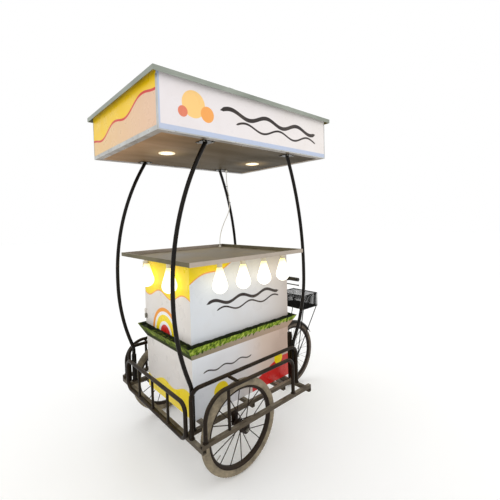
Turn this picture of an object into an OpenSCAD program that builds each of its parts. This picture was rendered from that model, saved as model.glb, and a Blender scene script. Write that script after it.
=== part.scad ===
// Bicycle food cart: a cabinet cart on two wheels, under a canopy on four bowed posts, led by the
// front half of a bicycle. Millimetres, +Z up. +X points the way the bicycle faces, +Y to its left.
// The origin lies on the floor, under the middle of the overall length and width.
// Places along X are counted from the middle between the posts where they are widest, and in_frame()
// moves them to the origin.

/* [Wheels] */
// Outer radius of all three tyres
tyre_r = 298; // [286:1:304]
// Thickness of a cart tyre
cart_tyre_d = 52; // [44:1:54]
// Thickness of the bicycle tyre
bike_tyre_d = 40; // [34:1:44]
// Width of a cart wheel's rim
cart_rim_w = 34; // [30:1:38]
// Width of the bicycle wheel's rim
bike_rim_w = 28; // [24:1:32]
// Depth of the rims
rim_depth = 20; // [16:1:26]
// Wall of the rims
rim_wall = 3; // [2:0.5:4]
// Spokes in a cart wheel
cart_spokes = 16; // [12:2:28]
// Spokes in the bicycle wheel
bike_spokes = 28; // [20:2:36]
// Diameter of a cart wheel's spokes
cart_spoke_d = 6; // [3:0.5:8]
// Diameter of the bicycle wheel's spokes
bike_spoke_d = 2.6; // [2:0.2:3.4]
// How far round the hub a spoke starts from where it ends
spoke_lean = 38; // [0:1:50]
// Diameter of the hub flanges
hub_flange_d = 64; // [54:1:76]
// Thickness of the hub flanges
hub_flange_t = 4; // [3:0.5:6]
// Distance between the hub flanges
hub_flange_gap = 50; // [44:1:60]
// Diameter of the hub barrels
hub_barrel_d = 34; // [28:1:40]
// Diameter of the cart axles
cart_axle_d = 12; // [10:1:16]
// Diameter of the bicycle axle
bike_axle_d = 10; // [8:1:12]

/* [Chassis] */
// Side of the square rails
rail = 25; // [20:1:30]
// Wall of the square rails
rail_wall = 2; // [1.5:0.5:3]
// Height of the cross rails' underside
chassis_z = 320; // [316:1:330]
// How far the inner rails and posts stand outside the cabinet's walls, at their centres
post_out = 100; // [98:1:120]
// Distance between an inner and an outer rail, at their centres
rail_pitch = 145; // [140:1:160]
// Place of the cross rail at the bumper end
tail_x = -505; // [-520:1:-500]
// Place of the cross rail at the bicycle end
nose_x = 430; // [420:1:440]
// Place of the cart axles
cart_axle_x = -175; // [-180:1:-150]
// Thickness of the axle brackets
bracket_t = 6; // [4:0.5:8]
// Width of the axle brackets
bracket_w = 52; // [44:1:64]
// Top of the square uprights at the bicycle end
upright_top_z = 720; // [690:1:728]
// Reach of the spine beam in front of the cross rail
spine_reach = 100; // [95:1:115]

/* [Guards] */
// Diameter of the guard and bumper tubes
guard_d = 25; // [22:1:28]
// Wall of the guard and bumper tubes
guard_wall = 2; // [1.5:0.5:3]
// Height of the side guards' top run above the wheels
side_guard_over = 34; // [19:1:54]
// Bend radius of the side guards
side_guard_r = 60; // [45:1:90]
// Height of the wheel guards' top run above the wheels
wheel_guard_over = 26; // [18:1:44]
// Bend radius of the wheel guards at the bumper end
wheel_guard_r = 150; // [100:1:170]
// Bend radius of the wheel guards at the bicycle end
wheel_guard_nose_r = 60; // [45:1:90]
// Place of the wheel guards' leg at the bumper end
wheel_guard_tail_x = -488; // [-492:1:-480]
// Place of the wheel guards' leg at the bicycle end
wheel_guard_nose_x = 255; // [230:1:300]
// Place of the braces under the wheel guards
brace_x = -318; // [-325:1:-310]
// Place of the links between the two guards
link_x = -235; // [-260:1:-200]
// Diameter of the braces and links
brace_d = 20; // [16:1:22]
// Height of the bumper's top run
bumper_z = 550; // [520:1:580]
// Half the width of the bumper, at the tube's centre
bumper_half_w = 425; // [380:1:440]
// Corner radius of the bumper
bumper_r = 55; // [40:1:80]
// Upright bars in the bumper
bumper_bars = 3; // [1:1:5]
// Diameter of the bumper's upright bars
bumper_bar_d = 18; // [12:1:22]

/* [Posts] */
// Diameter of the canopy posts
post_d = 26; // [22:1:30]
// Wall of the canopy posts
post_wall = 2; // [1.5:0.5:3]
// Place of the posts' feet at the bumper end
post_tail_x = -480; // [-490:1:-470]
// Place of the posts' feet at the bicycle end
post_nose_x = 430; // [420:1:440]
// Half distance between the posts at their widest
post_belly_x = 580; // [560:1:600]
// Half distance between the heads of the posts, counted from the canopy's middle
post_head_x = 368; // [340:1:390]
// Height where the posts leave the upright
post_knee_z = 606; // [600:1:640]
// Height where the posts are widest
post_belly_z = 1150; // [1100:1:1200]
// Bend radius at the foot of the bow
post_knee_r = 120; // [90:1:200]
// Length of the straight piece between two bends of a post
post_straight = 40; // [30:1:60]
// Height of the sockets above the rails
socket_h = 205; // [150:1:215]
// Wall of the sockets
socket_wall = 4; // [3:0.5:5]
// Side of the square flanges at the heads of the posts
flange_side = 84; // [70:1:110]
// Thickness of those flanges
flange_t = 4; // [3:0.5:6]

/* [Cabinet] */
// Place of the cabinet's wall at the bumper end
cabinet_tail_x = -410; // [-420:1:-400]
// Place of the cabinet's wall at the bicycle end
cabinet_nose_x = 490; // [470:1:495]
// Width of the cabinet
cabinet_w = 640; // [600:1:660]
// Thickness of the cabinet's boards
board = 12; // [9:1:18]
// Top of the lower cabinet
lower_top_z = 735; // [729:1:745]
// Height of the skirt's gutter floor
gutter_z = 812; // [800:1:820]
// Height of the skirt's rim
skirt_rim_z = 830; // [824:1:834]
// How far the skirt flares out
skirt_flare = 52; // [40:1:70]
// Thickness of the skirt's sheet
skirt_t = 3; // [2:0.5:4]
// Top of the upper cabinet
upper_top_z = 1345; // [1330:1:1360]
// Gap round the doors
door_gap = 2; // [1:0.5:4]
// Diameter of the door hinges' knuckles
knuckle_d = 11; // [9:0.5:14]
// Height of each half of a door hinge
knuckle_h = 36; // [28:1:50]
// Diameter of the hinge pins
hinge_pin_d = 5; // [4:0.5:6]
// Diameter of the door knobs
knob_d = 32; // [24:1:40]
// How far the door knobs stand out
knob_h = 28; // [20:1:36]

/* [Counter] */
// How far the counter tray stands out at the bumper end
tray_tail_over = 105; // [95:1:115]
// How far the counter tray stands out at the sides
tray_side_over = 180; // [165:1:200]
// How far the counter tray stops short of the cabinet at the bicycle end
tray_nose_back = 15; // [5:1:25]
// Height of the tray with its rim
tray_h = 27; // [20:1:40]
// Width of the folded rim
tray_rim = 14; // [8:1:24]
// Thickness of the tray's sheet
tray_t = 2; // [1.5:0.5:3]

/* [Lamps] */
// Lamps along the counter's long side
side_lamps = 4; // [1:1:5]
// Spacing of those lamps
side_lamp_pitch = 195; // [170:1:205]
// Place of the row's middle
side_lamp_x = 50; // [20:1:60]
// Lamps at the counter's bumper end
end_lamps = 2; // [1:1:3]
// Spacing of those lamps
end_lamp_pitch = 330; // [200:1:340]
// Diameter of the glowing bulbs
bulb_d = 98; // [70:1:100]
// Height of the glowing bulbs
bulb_h = 165; // [130:1:180]
// Gap between the bulbs at the bumper end and the cabinet
lamp_gap = 3.8; // [2:0.2:6]
// Diameter of the lamp holders
holder_d = 34; // [28:1:40]
// Height of the lamp holders
holder_h = 38; // [28:1:50]

/* [Canopy] */
// Length of the canopy's fascia
canopy_l = 1440; // [1380:1:1480]
// How far the canopy's fascia stands outside the posts' centres, at the sides
canopy_out = 90; // [80:1:110]
// Height of the canopy's fascia
canopy_h = 305; // [260:1:340]
// Height of the canopy's underside
canopy_z = 2075; // [2000:1:2150]
// Place of the canopy's middle
canopy_x = 40; // [20:1:60]
// Thickness of the fascia boards
fascia_t = 18; // [12:1:25]
// Width of the flange that holds the ceiling sheet
ceiling_ledge = 24; // [15:1:40]
// Thickness of the roof and ceiling sheets
sheet_t = 2; // [1.5:0.5:3]
// How far the roof stands over the fascia
roof_over = 30; // [20:1:40]
// Height of the roof's lip
roof_lip = 28; // [12:1:36]
// Half the distance between the downlights
downlight_x = 400; // [300:1:450]
// Outer diameter of the downlights
downlight_d = 112; // [90:1:140]

/* [Bicycle front] */
// Gap between the cabinet and the bicycle tyre
bike_gap = 107; // [102:1:140]
// Lean of the steering axis from upright
head_tilt = 20; // [16:1:22]
// Offset of the axle from the steering axis
fork_rake = 50; // [40:1:60]
// Gap between the bicycle tyre and the fork crown
crown_gap = 32; // [28:1:47]
// Height of the fork crown
crown_h = 30; // [24:1:36]
// Length of the head tube
head_tube_h = 165; // [140:1:190]
// Diameter of the head tube
head_tube_d = 37; // [34:1:42]
// Diameter of the steerer
steerer_d = 25.4; // [22:0.2:28]
// Height of each headset cup
headset_h = 14; // [10:1:18]
// Diameter of the fork blades
blade_d = 22; // [18:1:26]
// Diameter of the bicycle's frame tubes
frame_tube_d = 28; // [25:1:32]
// Distance from the wheel to the mudguard
mudguard_gap = 20; // [14:1:24]
// Angle of the mudguard's front end above the axle
mudguard_from = 30; // [25:1:50]
// Angle of the mudguard's rear end
mudguard_to = 150; // [130:1:155]

/* [Handlebar] */
// Height of the handlebar along the steering axis, from the axle
bar_z = 815; // [790:1:830]
// How far the stem holds the handlebar forward
stem_reach = 80; // [75:1:100]
// Width of the handlebar
bar_w = 620; // [560:1:640]
// Diameter of the handlebar
bar_d = 22; // [20:1:26]
// Length of the grips
grip_l = 118; // [100:1:135]
// Diameter of the grips
grip_d = 31; // [27:1:34]
// Place of the brake levers' pivots from the middle
lever_y = 85; // [75:1:100]
// How far the brake levers hang under the handlebar
lever_drop = 62; // [56:1:70]
// Length of the brake levers
lever_l = 212; // [180:1:220]
// Diameter of the brake levers
lever_d = 9; // [7:0.5:10]
// Diameter of the brake levers' pins
lever_pin_d = 6; // [5:0.5:8]

/* [Basket] */
// How far the basket's rear wall stands in front of the axle
basket_ahead = 10; // [0:1:25]
// Length of the basket
basket_l = 215; // [180:1:260]
// Width of the basket
basket_w = 300; // [260:1:340]
// Height of the basket's floor above the wheel
basket_over = 152; // [140:1:165]
// Height of the basket
basket_h = 130; // [100:1:150]
// Thickness of the basket's wires
wire = 3.5; // [2:0.5:4]
// Spacing of the basket's wires
wire_pitch = 16; // [14:1:30]
// Thickness of the basket's rims
basket_rim = 8; // [6:1:10]
// Diameter of the basket's stays
stay_d = 8; // [6:0.5:10]

/* [Cable] */
// Diameter of the cable
cable_d = 7; // [5:0.5:8]
// Length of the glands
gland_l = 26; // [20:1:34]

/* [Hidden] */
// Facets of round pieces
$fn = 64;
// Overrun of every cut
over = 1;
// Gap between pieces that seat on each other's curved faces
seat = 0.3;
// Radial clearance of what turns on a pin, axle or tube
run_fit = 0.05;
// Side play of hubs, levers and doors
side_play = 0.5;
// Thickness of the two films that a flared block is drawn between
film = 0.01;

// Chassis heights and the rails' places
inner_y = cabinet_w / 2 + post_out;
outer_y = inner_y + rail_pitch;
side_guard_z = 2 * tyre_r + side_guard_over;
wheel_guard_z = 2 * tyre_r + wheel_guard_over;
rail_z = chassis_z + rail;
deck_z = rail_z;
post_base_z = rail_z + rail;
bearer_shares = [0.05, 0.45, 0.8];
bearer_xs = [for (share = bearer_shares) cabinet_tail_x + share * (cabinet_nose_x - cabinet_tail_x)];

// Cart wheels between their brackets
bracket_in_y = inner_y + rail / 2 + bracket_t;
bracket_out_y = outer_y - rail / 2 - bracket_t;
cart_wheel_y = (bracket_in_y + bracket_out_y) / 2;
cart_hub_l = bracket_out_y - bracket_in_y - 2 * side_play;
axle_nut_af_share = 1.9;
axle_nut_h_share = 0.8;
rim_seat_share = 0.86;
rim_well_share = 0.5;
rim_waist_share = 0.45;
hub_end_share = 0.72;

// Guards
side_guard_y = inner_y + post_d / 2 + socket_wall + seat + guard_d / 2 + seat;
bumper_x = tail_x - rail / 2 - guard_d / 2 - seat;
bumper_low_z = chassis_z + rail / 2;

// Bow of the posts: a knee, a lower arc up to the belly and an upper arc up to the head,
// with a straight piece between them
ceiling_z = canopy_z + sheet_t;
post_head_z = ceiling_z - flange_t;
upper_rise = post_head_z - post_belly_z - post_straight;
lower_rise = post_belly_z - post_knee_z;
// How much thinner the posts' tube gets in its bends, in radius
post_draw = 0.1;
bolt_d = 8;
bolt_af_share = 1.6;
bolt_head_share = 0.6;
bolt_place_share = 0.36;

// Cabinet
cabinet_l = cabinet_nose_x - cabinet_tail_x;
cabinet_x = (cabinet_nose_x + cabinet_tail_x) / 2;
tray_l = cabinet_l + tray_tail_over - tray_nose_back;
tray_w = cabinet_w + 2 * tray_side_over;
tray_x = cabinet_x - (tray_tail_over + tray_nose_back) / 2;
door_z = skirt_rim_z + 3 * door_gap;
door_h = upper_top_z - 2 * door_gap - door_z;
door_l = cabinet_l / 2 - door_gap / 2 - side_play;
door_y = cabinet_w / 2 + side_play;
hinge_y = door_y + board / 2;
hinge_place_share = 0.14;
leaf_w_share = 2.6;
leaf_t = 2;
knob_neck_share = 0.45;

// Lamps, centred in the tray's overhang
lamp_z = upper_top_z;
side_lamp_y = -(cabinet_w / 2 + tray_w / 2) / 2 - seat;
end_lamp_x = cabinet_tail_x - lamp_gap - bulb_d / 2;
holder_lip_share = 1.35;
holder_lip_h_share = 0.12;

// Canopy
canopy_w = 2 * (inner_y + canopy_out);
downlight_hole_share = 0.8;
downlight_lens_share = 0.7;
downlight_h = 14;
bezel_lip = 4;

// Bicycle front: the steering axis meets the axle's height at axis_x
bike_axle_x = cabinet_nose_x + bike_gap + tyre_r;
crown_z = tyre_r + crown_gap;
basket_x = bike_axle_x + basket_ahead;
basket_z = 2 * tyre_r + basket_over;
axis_x = bike_axle_x - fork_rake / cos(head_tilt);
hub_drop = fork_rake * tan(head_tilt);
bike_hub_l = 96;
dropout_t = 5;
dropout_d = 28;
dropout_w = 14;
dropout_y = bike_hub_l / 2 + side_play + dropout_t / 2;
blade_y = dropout_y + dropout_t;
blade_end = 26;
crown_w = 30;
crown_boss_d = 33;
head_z = crown_z + crown_h + seat + headset_h;
head_top_z = head_z + head_tube_h;
steerer_top_z = head_top_z + headset_h + seat;
cup_d = head_tube_d + 2 * dropout_t;
head_bore_share = 0.84;
top_tube_share = 0.8;
down_tube_share = 0.27;
stub_x = cabinet_nose_x + side_play + frame_tube_d / 2;
stub_top_z = lower_top_z - side_play;
spine_z = chassis_z - rail;
lock_nut_h = 8;
quill_d = 22;
stem_d = 26;
stem_arm_d = 24;
clamp_w = 40;
clamp_wall = 6;
lever_clamp_w = 16;
lever_ear = 3;
lever_eye_d = 15;
lever_eye_w = lever_d + 2 * side_play;
lever_knob_share = 1.5;
mudguard_t = 1.6;
mudguard_section_r = 34;
mudguard_depth = 22;
mudguard_stay_d = 5;
mudguard_stay_turn = 12;
collar_d = 20;
stay_y = blade_y + blade_d / 2 + stay_d;
stay_eye_d = 30;
stay_eye_t = 4;
stay_room_d = 36;
strap_w = 26;
strap_t = 4;
strap_ring_h = 22;
strap_z = 45;

// Overall length, from the roof's edge to the front of the bicycle tyre
front_reach = bike_axle_x + tyre_r;
rear_reach = canopy_x - canopy_l / 2 - roof_over;
centre_x = (front_reach + rear_reach) / 2;

// Route of the cable, from the gland in the ceiling to the gland in the tray
cable_route = [
    [468, 398, 2051], [468, 398, 2020], [470, 398, 1980], [474, 398, 1940], [479, 398, 1900],
    [485, 398, 1860], [491, 398, 1820], [496, 398, 1780], [498, 398, 1745], [495, 399, 1712],
    [486, 401, 1680], [472, 404, 1648], [455, 408, 1614], [437, 412, 1578], [420, 416, 1540],
    [405, 418, 1500], [394, 420, 1460], [388, 420, 1425], [386, 420, 1398], [386, 420, 1373]
];
gland_mouth_share = 1.3;
gland_d = 3 * cable_d;
gland_nut_d = 4 * cable_d;
gland_nut_h = 3;
// Sides of the cable, and rings from each point of its route to the next
cable_sides = 8;
cable_steps = 3;

// Moves a piece from the posts' middle to the part's own origin
module in_frame() {
    translate([-centre_x, 0, 0]) children();
}

// A piece and its mirror image on the other side of the middle plane
module both_sides() {
    children();
    mirror([0, 1, 0]) children();
}

// Round rod between two points
module rod(from, to, d) {
    way = to - from;
    reach = norm(way);
    translate(from)
        rotate([0, acos(way.z / reach), atan2(way.y, way.x)])
            cylinder(d = d, h = reach);
}

// Square tube along X, centred on its own middle
module square_tube_x(length) {
    inside = rail - 2 * rail_wall;
    difference() {
        cube([length, rail, rail], center = true);
        cube([length + 2 * over, inside, inside], center = true);
    }
}

// Square tube along Y, centred on its own middle
module square_tube_y(length) {
    rotate([0, 0, 90]) square_tube_x(length);
}

// Section of a round tube
module tube_section(d, wall) {
    difference() {
        circle(d = d);
        circle(d = d - 2 * wall);
    }
}

// Straight run of tube along its heading, the local +Z; children go on from its end
module run(length, d, wall) {
    linear_extrude(length) tube_section(d, wall);
    translate([0, 0, length]) children();
}

// Bend of a tube from its heading towards the local +X; children go on from its end
module bend(r, turn, d, wall) {
    translate([r, 0, 0])
        rotate([90, 0, 180])
            rotate_extrude(angle = turn)
                translate([r, 0]) tube_section(d, wall);
    translate([r * (1 - cos(turn)), 0, r * sin(turn)])
        rotate([0, turn, 0]) children();
}

// Bend the other way, towards the local -X
module bend_back(r, turn, d, wall) {
    rotate([0, 0, 180])
        bend(r, turn, d, wall)
            rotate([0, 0, 180]) children();
}

// Hexagonal nut or bolt head along +Z
module hexagon(across, height) {
    cylinder(d = across, h = height, $fn = 6);
}

// Turns a piece made round +Z so that it lies round the local Y
module on_axle() {
    rotate([90, 0, 0]) children();
}

// Wheels

function rim_r(section) = tyre_r - section * rim_seat_share;

module tyre_ring(section) {
    on_axle()
        rotate_extrude($fn = 96)
            difference() {
                translate([tyre_r - section / 2, 0]) circle(d = section);
                translate([0, -section]) square([rim_r(section) + seat, 2 * section]);
            }
}

// Channel rim: straight edges, tapering to a narrow well that takes the spokes
module rim_ring(section, width) {
    top = rim_r(section);
    edge = top - rim_depth * rim_well_share;
    well = top - rim_depth;
    half = width / 2;
    waist = half * rim_waist_share;
    on_axle()
        rotate_extrude($fn = 96)
            difference() {
                polygon([[top, -half], [top, half], [edge, half], [well, waist],
                    [well, -waist], [edge, -half]]);
                polygon([[top + over, rim_wall - half], [top + over, half - rim_wall],
                    [edge + rim_wall / 2, half - rim_wall], [well + rim_wall, waist - rim_wall / 2],
                    [well + rim_wall, rim_wall / 2 - waist], [edge + rim_wall / 2, rim_wall - half]]);
            }
}

// Straight spokes, each flange's all leaning the same way, so that they cross seen from the side
module spoke_set(section, count, d) {
    foot_r = hub_flange_d / 2 - d;
    head_r = rim_r(section) - rim_depth + rim_wall / 2;
    for (i = [0 : count - 1]) {
        side = i % 2 == 0 ? 1 : -1;
        at = i * 360 / count;
        foot_at = at + side * spoke_lean;
        foot_y = side * hub_flange_gap / 2;
        rod([foot_r * cos(foot_at), foot_y, foot_r * sin(foot_at)],
            [head_r * cos(at), 0, head_r * sin(at)], d);
    }
}

// Turned hub with two flanges and a bore that runs on its axle
module hub_turning(length, axle_d) {
    half = length / 2;
    neck = hub_barrel_d * hub_end_share / 2;
    on_axle()
        rotate_extrude()
            difference() {
                union() {
                    translate([0, -half]) square([neck, length]);
                    translate([0, -hub_flange_gap / 2]) square([hub_barrel_d / 2, hub_flange_gap]);
                    for (side = [-1, 1])
                        translate([0, (side * hub_flange_gap - hub_flange_t) / 2])
                            square([hub_flange_d / 2, hub_flange_t]);
                }
                translate([0, -half - over]) square([axle_d / 2 + run_fit, length + 2 * over]);
            }
}

// Axle along Y between two outer faces, with a nut outside each
module nutted_axle(from_y, to_y, d) {
    nut_h = d * axle_nut_h_share;
    nut_af = d * axle_nut_af_share;
    translate([0, to_y + 2 * nut_h, 0]) on_axle() cylinder(d = d, h = to_y - from_y + 4 * nut_h);
    translate([0, to_y + nut_h, 0]) on_axle() hexagon(nut_af, nut_h);
    translate([0, from_y, 0]) on_axle() hexagon(nut_af, nut_h);
}

module at_cart_wheel(side) {
    in_frame() translate([cart_axle_x, side * cart_wheel_y, tyre_r]) children();
}

module at_bike_wheel() {
    in_frame() translate([bike_axle_x, 0, tyre_r]) children();
}

module right_tyre() {
    color("#6b6154") at_cart_wheel(-1) tyre_ring(cart_tyre_d);
}

module left_tyre() {
    color("#6b6154") at_cart_wheel(1) tyre_ring(cart_tyre_d);
}

module cart_rim_spokes(side) {
    at_cart_wheel(side) {
        rim_ring(cart_tyre_d, cart_rim_w);
        spoke_set(cart_tyre_d, cart_spokes, cart_spoke_d);
    }
}

module right_rim_spokes() {
    color("#2b2622") cart_rim_spokes(-1);
}

module left_rim_spokes() {
    color("#2b2622") cart_rim_spokes(1);
}

module right_hub() {
    color("#3a3530") at_cart_wheel(-1) hub_turning(cart_hub_l, cart_axle_d);
}

module left_hub() {
    color("#3a3530") at_cart_wheel(1) hub_turning(cart_hub_l, cart_axle_d);
}

module cart_axles() {
    color("#55504a")
        in_frame()
            both_sides()
                translate([cart_axle_x, 0, tyre_r])
                    nutted_axle(inner_y + rail / 2, outer_y - rail / 2, cart_axle_d);
}

module front_tyre() {
    color("#3c3833") at_bike_wheel() tyre_ring(bike_tyre_d);
}

module front_rim() {
    color("#4a4540") at_bike_wheel() rim_ring(bike_tyre_d, bike_rim_w);
}

module front_spokes() {
    color("#8a8680") at_bike_wheel() spoke_set(bike_tyre_d, bike_spokes, bike_spoke_d);
}

module front_hub() {
    color("#4a4540") at_bike_wheel() hub_turning(bike_hub_l, bike_axle_d);
}

// Chassis

module long_rails() {
    length = nose_x - tail_x + rail;
    middle = (nose_x + tail_x) / 2;
    color("#262321")
        in_frame()
            both_sides()
                for (y = [inner_y, outer_y])
                    translate([middle, y, rail_z + rail / 2]) square_tube_x(length);
}

module cross_rails() {
    z = chassis_z + rail / 2;
    color("#262321")
        in_frame() {
            for (x = [tail_x, nose_x])
                translate([x, 0, z]) square_tube_y(2 * outer_y + rail);
            for (x = bearer_xs)
                translate([x, 0, z]) square_tube_y(2 * inner_y + rail);
            spine_from = bearer_xs[2] - rail / 2;
            spine_l = nose_x + spine_reach - spine_from;
            translate([spine_from + spine_l / 2, 0, spine_z + rail / 2]) square_tube_x(spine_l);
        }
}

// Hanging plate with a round foot that holds one end of a cart axle
module axle_bracket() {
    top = post_base_z - tyre_r;
    on_axle()
        linear_extrude(bracket_t)
            difference() {
                union() {
                    circle(d = bracket_w);
                    translate([-bracket_w / 2, 0]) square([bracket_w, top]);
                }
                circle(d = cart_axle_d + 2 * run_fit);
            }
}

module axle_brackets() {
    color("#2d2a27")
        in_frame()
            both_sides()
                for (y = [bracket_in_y, outer_y - rail / 2])
                    translate([cart_axle_x, y, tyre_r]) axle_bracket();
}

module front_uprights() {
    y = inner_y - post_d / 2 - socket_wall - 2 * seat - rail / 2;
    height = upright_top_z - rail_z;
    color("#241f1c")
        in_frame()
            both_sides()
                translate([nose_x, y, rail_z + height / 2])
                    rotate([0, 90, 0]) square_tube_x(height);
}

module post_sockets() {
    bore = post_d + 2 * seat;
    color("#1f1d1b")
        in_frame()
            both_sides()
                for (x = [post_tail_x, post_nose_x])
                    translate([x, inner_y, post_base_z])
                        run(socket_h, bore + 2 * socket_wall, socket_wall);
}

// Guards

module side_guards() {
    leg = side_guard_z - side_guard_r - rail_z;
    top = nose_x - tail_x - 2 * side_guard_r;
    color("#2a2521")
        in_frame()
            both_sides()
                translate([tail_x, side_guard_y, rail_z])
                    run(leg, guard_d, guard_wall)
                        bend(side_guard_r, 90, guard_d, guard_wall)
                            run(top, guard_d, guard_wall)
                                bend(side_guard_r, 90, guard_d, guard_wall)
                                    run(leg, guard_d, guard_wall);
}

module wheel_guards() {
    tail_leg = wheel_guard_z - wheel_guard_r - post_base_z;
    nose_leg = wheel_guard_z - wheel_guard_nose_r - post_base_z;
    top = wheel_guard_nose_x - wheel_guard_tail_x - wheel_guard_r - wheel_guard_nose_r;
    color("#2a2521")
        in_frame()
            both_sides()
                translate([wheel_guard_tail_x, outer_y, post_base_z])
                    run(tail_leg, guard_d, guard_wall)
                        bend(wheel_guard_r, 90, guard_d, guard_wall)
                            run(top, guard_d, guard_wall)
                                bend(wheel_guard_nose_r, 90, guard_d, guard_wall)
                                    run(nose_leg, guard_d, guard_wall);
}

// Braces that stand on the outer rails, and links between the two guards
module guard_braces() {
    link_z = (wheel_guard_z + side_guard_z) / 2;
    reach = guard_d / 2 + seat;
    color("#2a2521")
        in_frame()
            both_sides() {
                translate([brace_x, outer_y, post_base_z])
                    cylinder(d = brace_d, h = wheel_guard_z - reach - post_base_z);
                rod([link_x, side_guard_y + reach, link_z], [link_x, outer_y - reach, link_z], brace_d);
            }
}

// The heading of the bumper's tube starts along +Y and bends up
module along_y_bending_up() {
    multmatrix([[0, 1, 0, 0], [0, 0, 1, 0], [1, 0, 0, 0], [0, 0, 0, 1]]) children();
}

module bumper_loop() {
    long_run = 2 * (bumper_half_w - bumper_r);
    short_run = bumper_z - bumper_low_z - 2 * bumper_r;
    color("#2a2724")
        in_frame()
            translate([bumper_x, bumper_r - bumper_half_w, bumper_low_z])
                along_y_bending_up()
                    run(long_run, guard_d, guard_wall)
                        bend(bumper_r, 90, guard_d, guard_wall)
                            run(short_run, guard_d, guard_wall)
                                bend(bumper_r, 90, guard_d, guard_wall)
                                    run(long_run, guard_d, guard_wall)
                                        bend(bumper_r, 90, guard_d, guard_wall)
                                            run(short_run, guard_d, guard_wall)
                                                bend(bumper_r, 90, guard_d, guard_wall);
}

module bumper_uprights() {
    pitch = 2 * bumper_half_w / (bumper_bars + 1);
    bite = guard_d / 2 + seat;
    color("#2a2724")
        in_frame()
            for (i = [1 : bumper_bars]) {
                y = i * pitch - bumper_half_w;
                difference() {
                    rod([bumper_x, y, bumper_low_z], [bumper_x, y, bumper_z], bumper_bar_d);
                    for (z = [bumper_low_z, bumper_z])
                        rod([bumper_x, y - guard_d, z], [bumper_x, y + guard_d, z], 2 * bite);
                }
            }
}

// Posts

// Last run of a post that leans back by a turn, cut level at its length
module level_end(length, turn) {
    difference() {
        run(length + post_d, post_d, post_wall);
        translate([0, 0, length])
            rotate([0, turn, 0])
                translate([-post_d, -post_d, 0])
                    cube([2 * post_d, 2 * post_d, 2 * post_d]);
    }
}

// A left post that bows out along +X from its foot to its head
module bowed_post(foot, head) {
    bend_d = post_d - 2 * post_draw;
    knee_turn = 2 * atan((post_belly_x - foot) / (lower_rise + post_straight));
    lower_arc_r = (lower_rise - post_straight * cos(knee_turn)) / sin(knee_turn) - post_knee_r;
    upper_turn = 2 * atan((post_belly_x - head) / (upper_rise + post_straight));
    upper_arc_r = (upper_rise - post_straight * cos(upper_turn)) / sin(upper_turn);
    translate([foot, inner_y, post_base_z])
        run(post_knee_z - post_base_z, post_d, post_wall)
            bend(post_knee_r, knee_turn, bend_d, post_wall)
                run(post_straight, post_d, post_wall)
                    bend_back(lower_arc_r, knee_turn, bend_d, post_wall)
                        run(post_straight, post_d, post_wall)
                            bend_back(upper_arc_r, upper_turn, bend_d, post_wall)
                                level_end(post_straight, upper_turn);
}

module nose_post() {
    bowed_post(post_nose_x, post_head_x + canopy_x);
}

module tail_post() {
    bowed_post(-post_tail_x, post_head_x - canopy_x);
}

module post_nose_left() {
    color("#161514") in_frame() nose_post();
}

module post_nose_right() {
    color("#161514") in_frame() mirror([0, 1, 0]) nose_post();
}

module post_tail_left() {
    color("#161514") in_frame() mirror([1, 0, 0]) tail_post();
}

module post_tail_right() {
    color("#161514") in_frame() rotate([0, 0, 180]) tail_post();
}

module at_post_heads() {
    in_frame()
        for (x = [canopy_x - post_head_x, canopy_x + post_head_x])
            for (y = [-inner_y, inner_y])
                translate([x, y, post_head_z]) children();
}

module post_flanges() {
    color("#1f1d1b")
        at_post_heads()
            translate([-flange_side / 2, -flange_side / 2, 0])
                cube([flange_side, flange_side, flange_t]);
}

module flange_bolts() {
    at = flange_side * bolt_place_share;
    head = bolt_d * bolt_head_share;
    color("#77736c")
        at_post_heads()
            for (x = [-at, at])
                for (y = [-at, at])
                    translate([x, y, -head]) hexagon(bolt_d * bolt_af_share, head);
}

// Cabinet

// Block of the cabinet's outline between two heights, wider all round by a margin
module cabinet_block(from_z, to_z, margin) {
    translate([cabinet_tail_x - margin, -margin - cabinet_w / 2, from_z])
        cube([cabinet_l + 2 * margin, cabinet_w + 2 * margin, to_z - from_z]);
}

// Inside of a carcass with walls of one board, open right through the vendor's side
module cabinet_hollow(from_z, to_z) {
    translate([cabinet_tail_x + board, board - cabinet_w / 2, from_z])
        cube([cabinet_l - 2 * board, cabinet_w, to_z - from_z]);
}

// Storage box, open towards the vendor
module lower_cabinet() {
    color("#e6e2dd")
        in_frame()
            difference() {
                cabinet_block(deck_z, lower_top_z, 0);
                cabinet_hollow(deck_z + board, lower_top_z - board);
            }
}

// Flared block between two heights, its sides going out by the two margins
module flare_block(from_z, from_out, to_z, to_out) {
    hull() {
        cabinet_block(from_z, from_z + film, from_out);
        cabinet_block(to_z - film, to_z, to_out);
    }
}

// Sheet skirt that flares out from the lower cabinet and carries the upper one in its gutter
module skirt() {
    flare = skirt_flare / (skirt_rim_z - lower_top_z);
    floor_low = gutter_z - skirt_t;
    color("#3f5a1f")
        in_frame()
            difference() {
                flare_block(lower_top_z, 0, skirt_rim_z, skirt_flare);
                flare_block(gutter_z, flare * (gutter_z - lower_top_z) - skirt_t,
                    skirt_rim_z + over, skirt_flare + flare * over - skirt_t);
                flare_block(lower_top_z - over, -flare * over - skirt_t,
                    floor_low, flare * (floor_low - lower_top_z) - skirt_t);
            }
}

// Carcass, open towards the vendor behind the doors
module upper_cabinet() {
    color("#e9e4df")
        in_frame()
            difference() {
                cabinet_block(gutter_z, upper_top_z, 0);
                cabinet_hollow(gutter_z + board, upper_top_z - board);
            }
}

// Places of the hinges' joint faces along Z, where the door's half stands on the cabinet's half
hinge_zs = [door_z + door_h * hinge_place_share, door_z + door_h * (1 - hinge_place_share)];

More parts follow.
